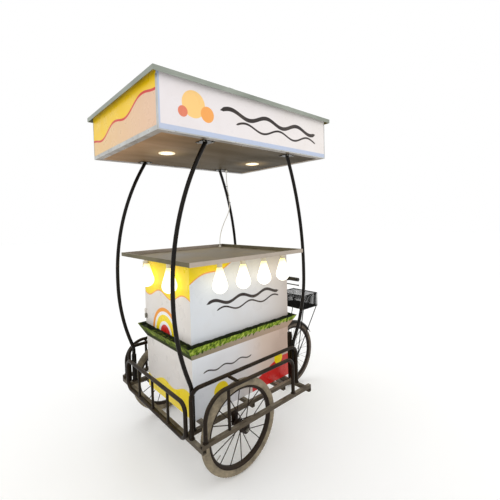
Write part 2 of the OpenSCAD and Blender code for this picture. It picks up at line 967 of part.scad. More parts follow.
// Door that hangs at the bumper end, with the upper halves of its hinges
module door_panel() {
    hinge_x = cabinet_tail_x - knuckle_d / 2 - side_play;
    difference() {
        union() {
            translate([cabinet_tail_x + side_play, door_y, door_z]) cube([door_l, board, door_h]);
            for (z = hinge_zs) {
                translate([hinge_x, hinge_y, z + seat]) cylinder(d = knuckle_d, h = knuckle_h - seat);
                translate([hinge_x, hinge_y - leaf_t, z + seat])
                    cube([knuckle_d, 2 * leaf_t, knuckle_h - seat]);
            }
        }
        for (z = hinge_zs)
            translate([hinge_x, hinge_y, z - knuckle_h])
                cylinder(d = hinge_pin_d + 2 * run_fit, h = 3 * knuckle_h);
    }
}

// The other door mirrors the first across the cabinet's middle
module other_door() {
    translate([2 * cabinet_x, 0, 0]) mirror([1, 0, 0]) children();
}

module door_tail() {
    color("#ddd8d2") in_frame() door_panel();
}

module door_nose() {
    color("#ddd8d2") in_frame() other_door() door_panel();
}

// Turned knob on the door's free edge, its base on the door's face
module door_knob() {
    neck = knob_d * knob_neck_share;
    translate([cabinet_tail_x + door_l - 2 * knob_d, door_y + board, door_z + door_h / 2])
        rotate([-90, 0, 0])
            rotate_extrude() {
                square([neck / 2, knob_h / 2]);
                translate([0, knob_h / 2])
                    difference() {
                        square([knob_d / 2, knob_h / 2]);
                        translate([knob_d / 2, knob_h / 2]) circle(d = knob_h / 2);
                    }
            }
}

module door_tail_knob() {
    color("#5a5650") in_frame() door_knob();
}

module door_nose_knob() {
    color("#5a5650") in_frame() other_door() door_knob();
}

// Lower half of each hinge, with its leaf on the cabinet's end
module hinge_leaf() {
    hinge_x = cabinet_tail_x - knuckle_d / 2 - side_play;
    leaf_w = knuckle_d * leaf_w_share;
    for (z = hinge_zs)
        difference() {
            union() {
                translate([hinge_x, hinge_y, z - knuckle_h]) cylinder(d = knuckle_d, h = knuckle_h);
                translate([cabinet_tail_x - leaf_t, hinge_y - leaf_w, z - knuckle_h])
                    cube([leaf_t, leaf_w, knuckle_h]);
            }
            translate([hinge_x, hinge_y, z - 2 * knuckle_h])
                cylinder(d = hinge_pin_d + 2 * run_fit, h = 3 * knuckle_h);
        }
}

module hinge_leaves() {
    color("#6d6962")
        in_frame() {
            hinge_leaf();
            other_door() hinge_leaf();
        }
}

module hinge_pin_pair() {
    hinge_x = cabinet_tail_x - knuckle_d / 2 - side_play;
    for (z = hinge_zs)
        translate([hinge_x, hinge_y, z - knuckle_h]) cylinder(d = hinge_pin_d, h = 2 * knuckle_h);
}

module hinge_pins() {
    color("#8b8780")
        in_frame() {
            hinge_pin_pair();
            other_door() hinge_pin_pair();
        }
}

// Counter

module counter_tray() {
    foot = cable_route[len(cable_route) - 1];
    color("#8d8f86")
        in_frame()
            difference() {
                translate([tray_x - tray_l / 2, -tray_w / 2, upper_top_z]) cube([tray_l, tray_w, tray_h]);
                translate([tray_x - tray_l / 2 + tray_rim, tray_rim - tray_w / 2, upper_top_z + tray_t])
                    cube([tray_l - 2 * tray_rim, tray_w - 2 * tray_rim, tray_h]);
                translate([foot.x, foot.y, upper_top_z - over])
                    cylinder(d = gland_d + 2 * seat, h = tray_t + 2 * over);
            }
}

// Lamps

// Tops of the lamps, under the tray: a row on the long side and a row at the end
lamp_places = concat(
    [for (i = [0 : side_lamps - 1])
        [side_lamp_x + (i - (side_lamps - 1) / 2) * side_lamp_pitch, side_lamp_y, lamp_z]],
    [for (i = [0 : end_lamps - 1])
        [end_lamp_x, (i - (end_lamps - 1) / 2) * end_lamp_pitch, lamp_z]]
);

module at_lamps() {
    in_frame()
        for (place = lamp_places)
            translate(place) children();
}

module lamp_holders() {
    lip = holder_h * holder_lip_h_share;
    color("#d8d4c8")
        at_lamps()
            rotate_extrude($fn = 48) {
                translate([0, -holder_h]) square([holder_d / 2, holder_h]);
                translate([0, -lip]) square([holder_d * holder_lip_share / 2, lip]);
            }
}

// Pear-shaped bulb: a ball under a cone that narrows to the holder
module lamp_bulbs() {
    ball_r = bulb_d / 2;
    neck_r = holder_d / 2;
    lean = asin((ball_r - neck_r) / (bulb_h - ball_r));
    shoulder_r = ball_r * cos(lean);
    shoulder_z = ball_r - bulb_h + ball_r * sin(lean);
    color("#fff4d6")
        at_lamps()
            translate([0, 0, -holder_h])
                rotate_extrude($fn = 48)
                    union() {
                        intersection() {
                            translate([0, ball_r - bulb_h]) circle(r = ball_r);
                            translate([0, -bulb_h]) square([ball_r, bulb_h]);
                        }
                        polygon([[0, 0], [neck_r, 0], [shoulder_r, shoulder_z], [0, shoulder_z]]);
                    }
}

// Canopy

module canopy_block(margin, from_z, to_z) {
    length = canopy_l - 2 * margin;
    width = canopy_w - 2 * margin;
    translate([canopy_x - length / 2, -width / 2, from_z]) cube([length, width, to_z - from_z]);
}

// Four fascia boards with an inner ledge at the bottom for the ceiling sheet
module canopy_fascia() {
    color("#e4dcdc")
        in_frame()
            difference() {
                canopy_block(0, canopy_z, canopy_z + canopy_h);
                canopy_block(fascia_t, ceiling_z, canopy_z + canopy_h + over);
                canopy_block(fascia_t + ceiling_ledge, canopy_z - over, ceiling_z + over);
            }
}

// Roof sheet with a lip turned down all round
module canopy_roof() {
    top = canopy_z + canopy_h;
    color("#8f948c")
        in_frame()
            difference() {
                canopy_block(-roof_over, top + sheet_t - roof_lip, top + sheet_t);
                canopy_block(sheet_t - roof_over, top - roof_lip, top);
            }
}

module at_downlights() {
    in_frame()
        for (side = [-1, 1])
            translate([canopy_x + side * downlight_x, 0, ceiling_z]) children();
}

module canopy_ceiling() {
    color("#6f6255")
        difference() {
            in_frame() canopy_block(fascia_t + seat, ceiling_z, ceiling_z + sheet_t);
            at_downlights()
                translate([0, 0, -over])
                    cylinder(d = downlight_d * downlight_hole_share + 2 * seat, h = sheet_t + 2 * over);
        }
}

// Ring that hangs in the ceiling's hole by its lip and holds the lens
module downlight_bezels() {
    hole_r = downlight_d * downlight_hole_share / 2;
    lens_r = downlight_d * downlight_lens_share / 2;
    color("#cfccc6")
        at_downlights()
            rotate_extrude()
                translate([lens_r + seat, 0]) {
                    translate([0, -bezel_lip]) square([downlight_d / 2 - lens_r - seat, bezel_lip]);
                    square([hole_r - lens_r - seat, downlight_h]);
                }
}

module downlight_lenses() {
    color("#fff6dd")
        at_downlights()
            translate([0, 0, -bezel_lip / 2])
                cylinder(d = downlight_d * downlight_lens_share, h = bezel_lip);
}

// Cable

// Gland from its seat to the end of the cable, tapering towards it, and sunk through a sheet
module gland(sink) {
    color("#d9d7d0") {
        translate([0, 0, -sink]) cylinder(d = gland_d, h = sink + gland_l / 2);
        translate([0, 0, gland_l / 2])
            cylinder(d1 = 2 * cable_d, d2 = cable_d * gland_mouth_share, h = gland_l / 2);
    }
}

module cable_glands() {
    top = cable_route[0];
    foot = cable_route[len(cable_route) - 1];
    in_frame() {
        translate([top.x, top.y, ceiling_z]) mirror([0, 0, 1]) gland(0);
        translate([foot.x, foot.y, upper_top_z + tray_t]) gland(tray_t + gland_nut_h);
        translate([foot.x, foot.y, upper_top_z - gland_nut_h])
            color("#d9d7d0") cylinder(d = gland_nut_d, h = gland_nut_h);
    }
}

// Point on the smooth curve through the route, at a whole number of points plus a part
function route_at(i) = cable_route[min(max(i, 0), len(cable_route) - 1)];
function smooth(i, t) =
    let (a = route_at(i - 1), b = route_at(i), c = route_at(i + 1), d = route_at(i + 2))
    (2 * b + (c - a) * t + (2 * a - 5 * b + 4 * c - d) * t ^ 2
        + (3 * b - a - 3 * c + d) * t ^ 3) / 2;

module lamp_cable() {
    last = len(cable_route) - 1;
    spine = concat(
        [for (i = [0 : last - 1]) for (k = [0 : cable_steps - 1]) smooth(i, k / cable_steps)],
        [cable_route[last]]);
    rings = len(spine);
    points = [
        for (i = [0 : rings - 1])
            let (
                way = spine[min(i + 1, rings - 1)] - spine[max(i - 1, 0)],
                ahead = i == 0 || i == rings - 1 ? [0, 0, -1] : way / norm(way),
                across = cross(ahead, [0, 1, 0]) / norm(cross(ahead, [0, 1, 0])),
                up = cross(across, ahead)
            )
            for (k = [0 : cable_sides - 1])
                let (turn = k * 360 / cable_sides)
                spine[i] + cable_d / 2 * (cos(turn) * across + sin(turn) * up)
    ];
    sides = [
        for (i = [0 : rings - 2])
            for (k = [0 : cable_sides - 1])
                let (
                    a = i * cable_sides + k,
                    b = i * cable_sides + (k + 1) % cable_sides
                )
                each [[a, b, b + cable_sides], [a, b + cable_sides, a + cable_sides]]
    ];
    first_cap = [for (k = [1 : cable_sides - 2]) [0, k + 1, k]];
    base = (rings - 1) * cable_sides;
    last_cap = [for (k = [1 : cable_sides - 2]) [base, base + k, base + k + 1]];
    color("#e8e6e0")
        in_frame() polyhedron(points, concat(sides, first_cap, last_cap));
}

// Bicycle front

// The steering's own frame: +Z up the steering axis from the axle's height, +X forward
module in_steering() {
    in_frame()
        translate([axis_x, 0, tyre_r])
            rotate([0, -head_tilt, 0]) children();
}

// A point on the steering axis, counted from the posts' middle
function on_axis(z) = [axis_x - z * sin(head_tilt), 0, tyre_r + z * cos(head_tilt)];

// Short frame that carries the head tube: a stub upright on the spine, a top tube and a down tube
module bike_frame() {
    top_at = on_axis(head_z + head_tube_h * top_tube_share);
    down_at = on_axis(head_z + head_tube_h * down_tube_share);
    color("#1d1b1a")
        difference() {
            union() {
                in_steering() translate([0, 0, head_z]) cylinder(d = head_tube_d, h = head_tube_h);
                in_frame() {
                    rod([stub_x, 0, chassis_z], [stub_x, 0, stub_top_z], frame_tube_d);
                    rod([stub_x, 0, stub_top_z - frame_tube_d], top_at, frame_tube_d);
                    rod([stub_x, 0, chassis_z + frame_tube_d], down_at, frame_tube_d);
                }
            }
            in_steering()
                translate([0, 0, head_z - over])
                    cylinder(d = head_tube_d * head_bore_share, h = head_tube_h + 2 * over);
        }
}

module headset_cups() {
    color("#8f8b84")
        in_steering()
            for (z = [head_z - headset_h, head_top_z])
                translate([0, 0, z])
                    difference() {
                        cylinder(d = cup_d, h = headset_h);
                        translate([0, 0, -over])
                            cylinder(d = steerer_d + 2 * run_fit, h = headset_h + 2 * over);
                    }
}

// Steerer, crown, two raked blades and their dropouts
module fork() {
    hub = [fork_rake, 0, -hub_drop];
    crown_at = [0, 0, crown_z + crown_h / 2];
    blade_way = (hub - crown_at) / norm(hub - crown_at);
    foot = hub - blade_end * blade_way;
    color("#1d1b1a")
        in_steering() {
            translate(crown_at) cylinder(d = steerer_d, h = steerer_top_z - crown_at.z);
            translate([-crown_w / 2, -blade_y, crown_z]) cube([crown_w, 2 * blade_y, crown_h]);
            both_sides() {
                translate([0, blade_y, crown_z]) cylinder(d = crown_boss_d, h = crown_h);
                rod(crown_at + [0, blade_y, 0], foot + [0, blade_y, 0], blade_d);
                translate(hub + [0, dropout_y + dropout_t / 2, 0])
                    on_axle()
                        linear_extrude(dropout_t)
                            difference() {
                                union() {
                                    circle(d = dropout_d);
                                    rotate(atan2(blade_way.x, -blade_way.z))
                                        translate([-dropout_w / 2, 0])
                                            square([dropout_w, 2 * blade_end]);
                                }
                                circle(d = bike_axle_d + 2 * run_fit);
                            }
            }
        }
}

// Quill with its lock nut, forward arm and the clamp round the handlebar
module stem() {
    top = bar_z;
    color("#6f6b65")
        in_steering()
            difference() {
                union() {
                    translate([0, 0, steerer_top_z]) cylinder(d = quill_d, h = top - steerer_top_z);
                    translate([0, 0, steerer_top_z]) hexagon(cup_d, lock_nut_h);
                    translate([0, 0, top]) sphere(d = stem_d);
                    rod([0, 0, top], [stem_reach, 0, top], stem_arm_d);
                    translate([stem_reach, clamp_w / 2, top])
                        on_axle() cylinder(d = bar_d + 2 * clamp_wall, h = clamp_w);
                }
                translate([stem_reach, clamp_w, top])
                    on_axle() cylinder(d = bar_d + 2 * run_fit, h = 2 * clamp_w);
            }
}

module at_bar() {
    in_steering() translate([stem_reach, 0, bar_z]) children();
}

module handlebar() {
    color("#8a867f")
        at_bar()
            translate([0, bar_w / 2, 0])
                on_axle() cylinder(d = bar_d, h = bar_w);
}

// Grips with a rounded collar at the inner end and a closed outer end
module grips() {
    collar = (grip_d - bar_d) / 2;
    color("#1a1918")
        at_bar()
            both_sides()
                translate([0, bar_w / 2 + collar, 0])
                    on_axle()
                        rotate_extrude()
                            difference() {
                                union() {
                                    square([grip_d / 2, grip_l]);
                                    translate([0, grip_l - collar]) square([grip_d / 2 + collar, collar]);
                                }
                                translate([0, collar]) square([bar_d / 2 + run_fit, grip_l]);
                            }
}

// Clamp rings on the handlebar with two ears each and the lever's pin between them
module lever_clamps() {
    ear_x = lever_eye_w / 2 + side_play;
    color("#77736c")
        at_bar()
            both_sides()
                translate([0, lever_y, 0])
                    difference() {
                        union() {
                            translate([0, lever_clamp_w / 2, 0])
                                on_axle() cylinder(d = bar_d + 2 * lever_ear, h = lever_clamp_w);
                            for (x = [ear_x, -ear_x - lever_ear])
                                translate([x, -lever_eye_d / 2, -lever_drop])
                                    cube([lever_ear, lever_eye_d, lever_drop]);
                            translate([-ear_x, 0, -lever_drop + lever_pin_d])
                                rotate([0, 90, 0]) cylinder(d = lever_pin_d, h = 2 * ear_x);
                        }
                        translate([0, lever_clamp_w, 0])
                            on_axle() cylinder(d = bar_d + 2 * run_fit, h = 2 * lever_clamp_w);
                    }
}

// Roadster brake lever: an eye on the pin and a long round arm under the grip
module lever_blank(turn) {
    at_bar()
        rotate([0, 0, turn])
            translate([0, lever_y, -lever_drop + lever_pin_d])
                difference() {
                    union() {
                        translate([-lever_eye_w / 2, 0, 0])
                            rotate([0, 90, 0]) cylinder(d = lever_eye_d, h = lever_eye_w);
                        rod([0, 0, 0], [0, lever_l, 0], lever_d);
                        translate([0, lever_l, 0]) sphere(d = lever_d * lever_knob_share);
                    }
                    translate([-lever_eye_w, 0, 0])
                        rotate([0, 90, 0]) cylinder(d = lever_pin_d + 2 * run_fit, h = 2 * lever_eye_w);
                }
}

module brake_lever_left() {
    color("#807c75") lever_blank(0);
}

module brake_lever_right() {
    color("#807c75") lever_blank(180);
}

// Arched guard over the bicycle wheel, with a tab to the fork crown and a pair of stays to the axle
module mudguard() {
    crown_r = tyre_r + mudguard_gap;
    edge_r = crown_r - mudguard_depth;
    edge_y = sqrt(mudguard_section_r ^ 2 - (mudguard_section_r - mudguard_depth) ^ 2);
    stay_at = mudguard_from + mudguard_stay_turn;
    foot_r = collar_d / 2 + seat;
    head_r = edge_r + mudguard_stay_d;
    tab_z = sqrt(crown_r ^ 2 - fork_rake ^ 2) - hub_drop - 2 * mudguard_t;
    color("#2a2826") {
        at_bike_wheel() {
            on_axle()
                rotate([0, 0, mudguard_from])
                    rotate_extrude(angle = mudguard_to - mudguard_from, $fn = 96)
                        difference() {
                            translate([crown_r - mudguard_section_r, 0]) circle(r = mudguard_section_r);
                            translate([crown_r - mudguard_section_r, 0])
                                circle(r = mudguard_section_r - mudguard_t);
                            translate([0, -crown_r]) square([edge_r, 2 * crown_r]);
                        }
            both_sides()
                rod([foot_r * cos(stay_at), stay_y - mudguard_stay_d, foot_r * sin(stay_at)],
                    [head_r * cos(stay_at), edge_y, head_r * sin(stay_at)], mudguard_stay_d);
        }
        in_steering()
            translate([-mudguard_stay_d / 2, -crown_w / 4, tab_z])
                cube([mudguard_stay_d, crown_w / 2, crown_z - tab_z]);
    }
}

// Grille of square wires in a frame, from the local origin along +X and +Y
module grille(length, height) {
    step_x = length / round(length / wire_pitch);
    linear_extrude(wire)
        difference() {
            square([length, height]);
            for (x = [0 : step_x : length - step_x / 2])
                translate([x + wire / 2, basket_rim])
                    square([step_x - wire, height - 2 * basket_rim]);
        }
}

// Open wire box: four walls of upright wires and a floor of wires
module basket() {
    color("#1c1b1a")
        in_frame()
            translate([basket_x, 0, basket_z]) {
                for (y = [wire - basket_w / 2, basket_w / 2])
                    translate([0, y, 0]) on_axle() grille(basket_l, basket_h);
                for (x = [0, basket_l - wire])
                    translate([x, -basket_w / 2, 0])
                        rotate([90, 0, 90]) grille(basket_w, basket_h);
                translate([0, -basket_w / 2, 0]) grille(basket_l, basket_w);
            }
}

// Two stays a side from the axle to the basket's floor, and the strap from the quill to its rear wall
module basket_stays() {
    eye = [bike_axle_x, stay_y, tyre_r];
    head_y = basket_w / 2 - stay_d;
    head_z = basket_z - seat;
    color("#1c1b1a") {
        in_frame()
            both_sides()
                difference() {
                    union() {
                        translate(eye + [0, stay_eye_t, 0])
                            on_axle() cylinder(d = stay_eye_d, h = stay_eye_t);
                        for (x = [basket_x + stay_d, basket_x + basket_l - stay_d])
                            rod(eye + [0, stay_eye_t / 2, 0], [x, head_y, head_z], stay_d);
                    }
                    translate(eye + [0, 2 * stay_d, 0])
                        on_axle() cylinder(d = bike_axle_d + 2 * run_fit, h = 4 * stay_d);
                    for (y = [0, stay_eye_t + stay_d])
                        translate(eye + [0, y, 0]) on_axle() cylinder(d = stay_room_d, h = stay_d);
                    translate([basket_x - basket_l, 0, head_z])
                        cube([3 * basket_l, basket_w, stay_d]);
                }
        ring_at = on_axis(steerer_top_z + strap_z);
        difference() {
            union() {
                in_steering()
                    translate([0, 0, steerer_top_z + strap_z - strap_ring_h / 2])
                        cylinder(d = quill_d + 2 * clamp_wall, h = strap_ring_h);
                in_frame()
                    translate([ring_at.x, -strap_w / 2, ring_at.z - strap_t / 2])
                        cube([basket_x - seat - ring_at.x, strap_w, strap_t]);
            }
            in_steering()
                translate([0, 0, steerer_top_z])
                    cylinder(d = quill_d + 2 * run_fit, h = bar_z - steerer_top_z - stem_d);
        }
    }
}

// Axle with a nut and a collar outside each dropout, and a nut outside each stay
module front_axle() {
    out_y = dropout_y + dropout_t / 2;
    nut_h = bike_axle_d * axle_nut_h_share;
    nut_af = bike_axle_d * axle_nut_af_share;
    color("#77736c")
        at_bike_wheel() {
            translate([0, stay_y + stay_eye_t + 2 * nut_h, 0])
                on_axle() cylinder(d = bike_axle_d, h = 2 * (stay_y + stay_eye_t + 2 * nut_h));
            both_sides() {
                translate([0, stay_y, 0]) on_axle() cylinder(d = collar_d, h = stay_y - out_y);
                translate([0, stay_y + stay_eye_t + nut_h, 0]) on_axle() hexagon(nut_af, nut_h);
            }
        }
}

long_rails();
cross_rails();
axle_brackets();
front_uprights();
post_sockets();
post_tail_right();
post_tail_left();
post_nose_right();
post_nose_left();
post_flanges();
flange_bolts();
side_guards();
wheel_guards();
guard_braces();
bumper_loop();
bumper_uprights();
lower_cabinet();
skirt();
upper_cabinet();
door_tail();
door_nose();
door_tail_knob();
door_nose_knob();
hinge_leaves();
hinge_pins();
counter_tray();
lamp_holders();
lamp_bulbs();
canopy_fascia();
canopy_roof();
canopy_ceiling();
downlight_bezels();
downlight_lenses();
cable_glands();
lamp_cable();
bike_frame();
headset_cups();
fork();
stem();
handlebar();
grips();
lever_clamps();
brake_lever_right();
brake_lever_left();
mudguard();
basket();
basket_stays();
front_axle();
cart_axles();
front_tyre();
front_rim();
front_spokes();
front_hub();
right_tyre();
right_rim_spokes();
right_hub();
left_tyre();
left_rim_spokes();
left_hub();
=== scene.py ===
"""Looks of the bicycle food cart: finishes, cable, tyres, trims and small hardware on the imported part.

Lengths are in metres in the part's own frame. Finishes are procedural and follow object coordinates.
"""

import math

import bmesh
import bpy
from mathutils import Matrix, Vector


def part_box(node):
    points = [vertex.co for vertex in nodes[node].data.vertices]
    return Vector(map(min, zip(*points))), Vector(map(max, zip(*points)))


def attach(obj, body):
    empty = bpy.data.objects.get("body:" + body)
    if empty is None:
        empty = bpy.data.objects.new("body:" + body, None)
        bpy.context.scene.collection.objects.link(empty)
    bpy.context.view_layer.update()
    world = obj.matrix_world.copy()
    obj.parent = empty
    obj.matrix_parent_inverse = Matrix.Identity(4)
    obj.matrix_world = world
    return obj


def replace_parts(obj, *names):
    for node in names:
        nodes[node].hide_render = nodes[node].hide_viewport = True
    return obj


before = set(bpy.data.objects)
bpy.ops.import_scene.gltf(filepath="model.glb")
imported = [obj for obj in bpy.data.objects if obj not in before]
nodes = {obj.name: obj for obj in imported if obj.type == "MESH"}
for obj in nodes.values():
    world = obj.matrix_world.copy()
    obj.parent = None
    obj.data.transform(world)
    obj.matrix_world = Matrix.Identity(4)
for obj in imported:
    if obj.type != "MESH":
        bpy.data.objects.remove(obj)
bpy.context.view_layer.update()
scene = bpy.context.scene


# Camera

EYE = Vector((-1.6953, -2.0438, 1.6059))
YAW, PITCH, ROLL = math.radians(48.42), math.radians(-2.27), math.radians(-1.49)
LENS_MM = 23.306
SENSOR_MM = 36
SHIFT_X, SHIFT_Y = 0.0061, -0.0358


def add_camera():
    data = bpy.data.cameras.new("camera")
    data.lens = LENS_MM
    data.sensor_width = SENSOR_MM
    data.shift_x, data.shift_y = SHIFT_X, SHIFT_Y
    camera = bpy.data.objects.new("camera", data)
    level = Vector((math.cos(YAW), math.sin(YAW), 0))
    ahead = math.cos(PITCH) * level + Vector((0, 0, math.sin(PITCH)))
    right = ahead.cross(Vector((0, 0, 1))).normalized()
    up = right.cross(ahead)
    across = math.cos(ROLL) * right + math.sin(ROLL) * up
    upright = math.cos(ROLL) * up - math.sin(ROLL) * right
    turn = Matrix((across, upright, -ahead)).transposed().to_4x4()
    camera.matrix_world = Matrix.Translation(EYE) @ turn
    scene.collection.objects.link(camera)
    scene.camera = camera


add_camera()


# Node materials

SOCKETS = {
    "base_color": "Base Color", "metallic": "Metallic", "roughness": "Roughness",
    "coat_weight": "Coat Weight", "coat_roughness": "Coat Roughness", "specular": "Specular IOR Level",
    "emission_color": "Emission Color", "emission_strength": "Emission Strength",
}


def srgb(red, green, blue):
    """A colour given as it looks on a screen, 0 to 255, as the shader's linear values."""
    def linear(value):
        value /= 255
        return value / 12.92 if value <= 0.04045 else ((value + 0.055) / 1.055) ** 2.4
    return (linear(red), linear(green), linear(blue), 1.0)


def toned(colour, *factors):
    """A colour with its red, green and blue scaled."""
    return [value * factor for value, factor in zip(colour, factors)] + [1.0]


class Finish:
    """A Principled material whose nodes work in object coordinates, in metres."""

    def __init__(self, name, **constants):
        self.material = bpy.data.materials.new(name)
        self.material.use_nodes = True
        self.tree = self.material.node_tree
        self.shader = self.tree.nodes["Principled BSDF"]
        coordinates = self.node("ShaderNodeTexCoord")
        self.place = coordinates.outputs["Object"]
        self.x, self.y, self.z = self.split(self.place)
        self.facing_x, self.facing_y, self.facing_z = self.split(coordinates.outputs["Normal"])
        self.set(**constants)

    def node(self, kind, **settings):
        made = self.tree.nodes.new(kind)
        for key, value in settings.items():
            setattr(made, key, value)
        return made

    def feed(self, socket, value):
        if isinstance(value, bpy.types.NodeSocket):
            self.tree.links.new(value, socket)
        else:
            socket.default_value = value

    def set(self, **sockets):
        """Sets or links sockets of the shader, such as base_color or roughness."""
        for key, value in sockets.items():
            self.feed(self.shader.inputs[SOCKETS[key]], value)
        return self

    def split(self, vector):
        made = self.node("ShaderNodeSeparateXYZ")
        self.feed(made.inputs[0], vector)
        return made.outputs

    def math(self, operation, *values, clamp=False):
        made = self.node("ShaderNodeMath", operation=operation, use_clamp=clamp)
        for socket, value in zip(made.inputs, values):
            self.feed(socket, value)
        return made.outputs[0]

    def plus(self, first, second):
        return self.math("ADD", first, second)

    def minus(self, first, second):
        return self.math("SUBTRACT", first, second)

    def times(self, first, second):
        return self.math("MULTIPLY", first, second)

    def scaled(self, value, factor, offset):
        return self.math("MULTIPLY_ADD", value, factor, offset)

    def distance(self, across, beside):
        """Length of the diagonal over two offsets."""
        squares = [self.math("POWER", offset, 2.0) for offset in (across, beside)]
        return self.math("SQRT", self.plus(*squares))

    def noise(self, scale, detail=3.0, stretch=(1, 1, 1)):
        """Noise from 0 to 1 with so many cells to the metre, squeezed along each axis by stretch."""
        mapping = self.node("ShaderNodeMapping")
        self.feed(mapping.inputs["Vector"], self.place)
        mapping.inputs["Scale"].default_value = stretch
        made = self.node("ShaderNodeTexNoise")
        self.feed(made.inputs["Vector"], mapping.outputs[0])
        made.inputs["Scale"].default_value = scale
        made.inputs["Detail"].default_value = detail
        return made.outputs[0]

    def ramp(self, value, *stops):
        """Colour that runs through (position, colour) stops."""
        made = self.node("ShaderNodeValToRGB")
        elements = made.color_ramp.elements
        while len(elements) < len(stops):
            elements.new(1.0)
        for element, (position, colour) in zip(elements, stops):
            element.position = position
            element.color = colour
        self.feed(made.inputs[0], value)
        return made.outputs[0]

    def levels(self, value, low, high, to_low=0.0, to_high=1.0):
        """Maps low..high to to_low..to_high and holds it there."""
        made = self.node("ShaderNodeMapRange")
        for socket, number in zip(made.inputs, (value, low, high, to_low, to_high)):
            self.feed(socket, number)
        return made.outputs[0]

    def mix(self, share, first, second):
        """The first colour, or the second where share is 1. Sockets 6, 7 and 2 are the colour ones."""
        made = self.node("ShaderNodeMix", data_type="RGBA")
        self.feed(made.inputs[0], share)
        self.feed(made.inputs[6], first)
        self.feed(made.inputs[7], second)
        return made.outputs[2]

    def bump(self, height, distance, strength):
        made = self.node("ShaderNodeBump")
        made.inputs["Strength"].default_value = strength
        made.inputs["Distance"].default_value = distance
        self.feed(made.inputs["Height"], height)
        self.feed(self.shader.inputs["Normal"], made.outputs[0])
        return self


PRIMER = srgb(104, 78, 56)
RUST = srgb(110, 78, 52)


def dusty_paint(name, paint, dust, most_dust, roughness=0.3):
    """Brushed-on enamel with uneven tone, chips down to brown primer, and dust where it faces up."""
    finish = Finish(name, coat_weight=0.04, coat_roughness=0.12, specular=0.1)
    patches = finish.levels(finish.noise(scale=9, detail=5), 0.35, 0.75)
    upward = finish.levels(finish.facing_z, 0.2, 1.0, to_low=0.06, to_high=1.0)
    dusty = finish.times(finish.times(patches, upward), most_dust)
    chips = finish.levels(finish.noise(scale=70, detail=6), 0.68, 0.71)
    shade = finish.mix(finish.noise(scale=3.5, detail=2), paint, toned(paint, 1.7, 1.7, 1.7))
    chipped = finish.mix(finish.times(chips, 0.55), shade, PRIMER)
    finish.set(base_color=finish.mix(dusty, chipped, dust))
    finish.set(roughness=finish.levels(dusty, 0.0, 0.5, to_low=roughness, to_high=0.75))
    return finish.bump(finish.noise(scale=160), distance=0.0006, strength=0.35).material


def plated(name, metal, roughness=0.28):
    """Plated steel with a dull bloom and pin spots of rust."""
    finish = Finish(name, metallic=1.0)
    bloom = finish.noise(scale=45, detail=4)
    spots = finish.levels(finish.noise(scale=420, detail=2), 0.70, 0.76)
    shade = finish.mix(bloom, metal, toned(metal, 0.62, 0.62, 0.62))
    finish.set(base_color=finish.mix(finish.times(spots, 0.6), shade, RUST))
    finish.set(roughness=finish.levels(bloom, 0.3, 0.7, to_low=roughness, to_high=roughness + 0.25))
    return finish.bump(finish.noise(scale=300, detail=2), distance=0.0003, strength=0.3).material


LONG_BRUSH = (0.3, 9, 9)
EVEN_BRUSH = (0.4, 0.4, 0.4)


def brushed(finish, stretch):
    """The brush marks, the smears and their blend on a sheet."""
    brush = finish.noise(scale=40, detail=5, stretch=stretch)
    smears = finish.noise(scale=4, detail=5)
    blend = finish.levels(finish.plus(finish.times(brush, 0.45), smears), 0.45, 1.0)
    return brush, smears, blend


def dented(finish, brush):
    """Shallow dents under the brush marks."""
    height = finish.plus(finish.noise(scale=7, detail=1), finish.times(brush, 0.04))
    return finish.bump(height, distance=0.003, strength=0.3).material


def sheet_metal(name, light, dark, roughness, stretch):
    """Rolled sheet with a fine brush along one axis, smears and shallow dents."""
    finish = Finish(name, metallic=0.9, specular=0.45)
    brush, smears, blend = brushed(finish, stretch)
    finish.set(base_color=finish.mix(blend, dark, light))
    finish.set(roughness=finish.levels(smears, 0.3, 0.75, to_low=roughness, to_high=roughness + 0.2))
    return dented(finish, brush)


def rubber(name, dark, dusty, roughness=0.75):
    """Rubber with dust rubbed into it and a fine moulded grain."""
    finish = Finish(name)
    worn = finish.levels(finish.noise(scale=24, detail=6), 0.3, 0.7)
    finish.set(base_color=finish.mix(worn, dark, dusty))
    finish.set(roughness=finish.levels(worn, 0.0, 1.0, to_low=roughness - 0.15, to_high=roughness + 0.15))
    return finish.bump(finish.noise(scale=500), distance=0.0006, strength=0.5).material


def moulded(name, colour, roughness=0.45):
    """Moulded plastic, a little yellowed and scuffed."""
    finish = Finish(name)
    aged = finish.levels(finish.noise(scale=30, detail=4), 0.35, 0.7)
    finish.set(base_color=finish.mix(aged, colour, toned(colour, 0.9, 0.84, 0.68)))
    finish.set(roughness=finish.levels(aged, 0.0, 1.0, to_low=roughness, to_high=roughness + 0.15))
    return finish.bump(finish.noise(scale=700, detail=2), distance=0.0003, strength=0.3).material


def glowing(name, node, core, rim, strength):
    """A lit diffuser on a node, paler at its heart and warmer towards its upper end."""
    low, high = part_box(node)
    finish = Finish(name, roughness=0.35, emission_strength=strength)
    height = finish.plus(finish.z, finish.times(finish.noise(scale=35, detail=2), 0.012))
    tone = finish.ramp(finish.levels(height, low.z, high.z), (0.0, core), (0.62, core), (1.0, rim))
    return finish.set(base_color=tone, emission_color=tone).material


# Printed panels

WHITE = srgb(238, 238, 236)
YELLOW = srgb(244, 216, 0)
DEEP_YELLOW = srgb(242, 200, 10)
AMBER = srgb(238, 150, 22)
RED = srgb(206, 34, 30)
INK = srgb(44, 36, 34)
PALE_BLUE = srgb(186, 198, 222)
GRIME = srgb(196, 178, 156)
# Painted shade, dark olive, for the panels' foot down in the skirt's gutter.
GUTTER_SHADE = srgb(40, 46, 28)
BARE_EDGE = srgb(112, 100, 84)
INSIDE = srgb(206, 200, 190)
END_BOARD = srgb(220, 215, 210)
EDGE = 0.002
BOARD_SKIN = 0.004
ARC_RINGS = ((1.0, AMBER), (0.86, WHITE), (0.74, YELLOW), (0.5, WHITE), (0.38, RED))


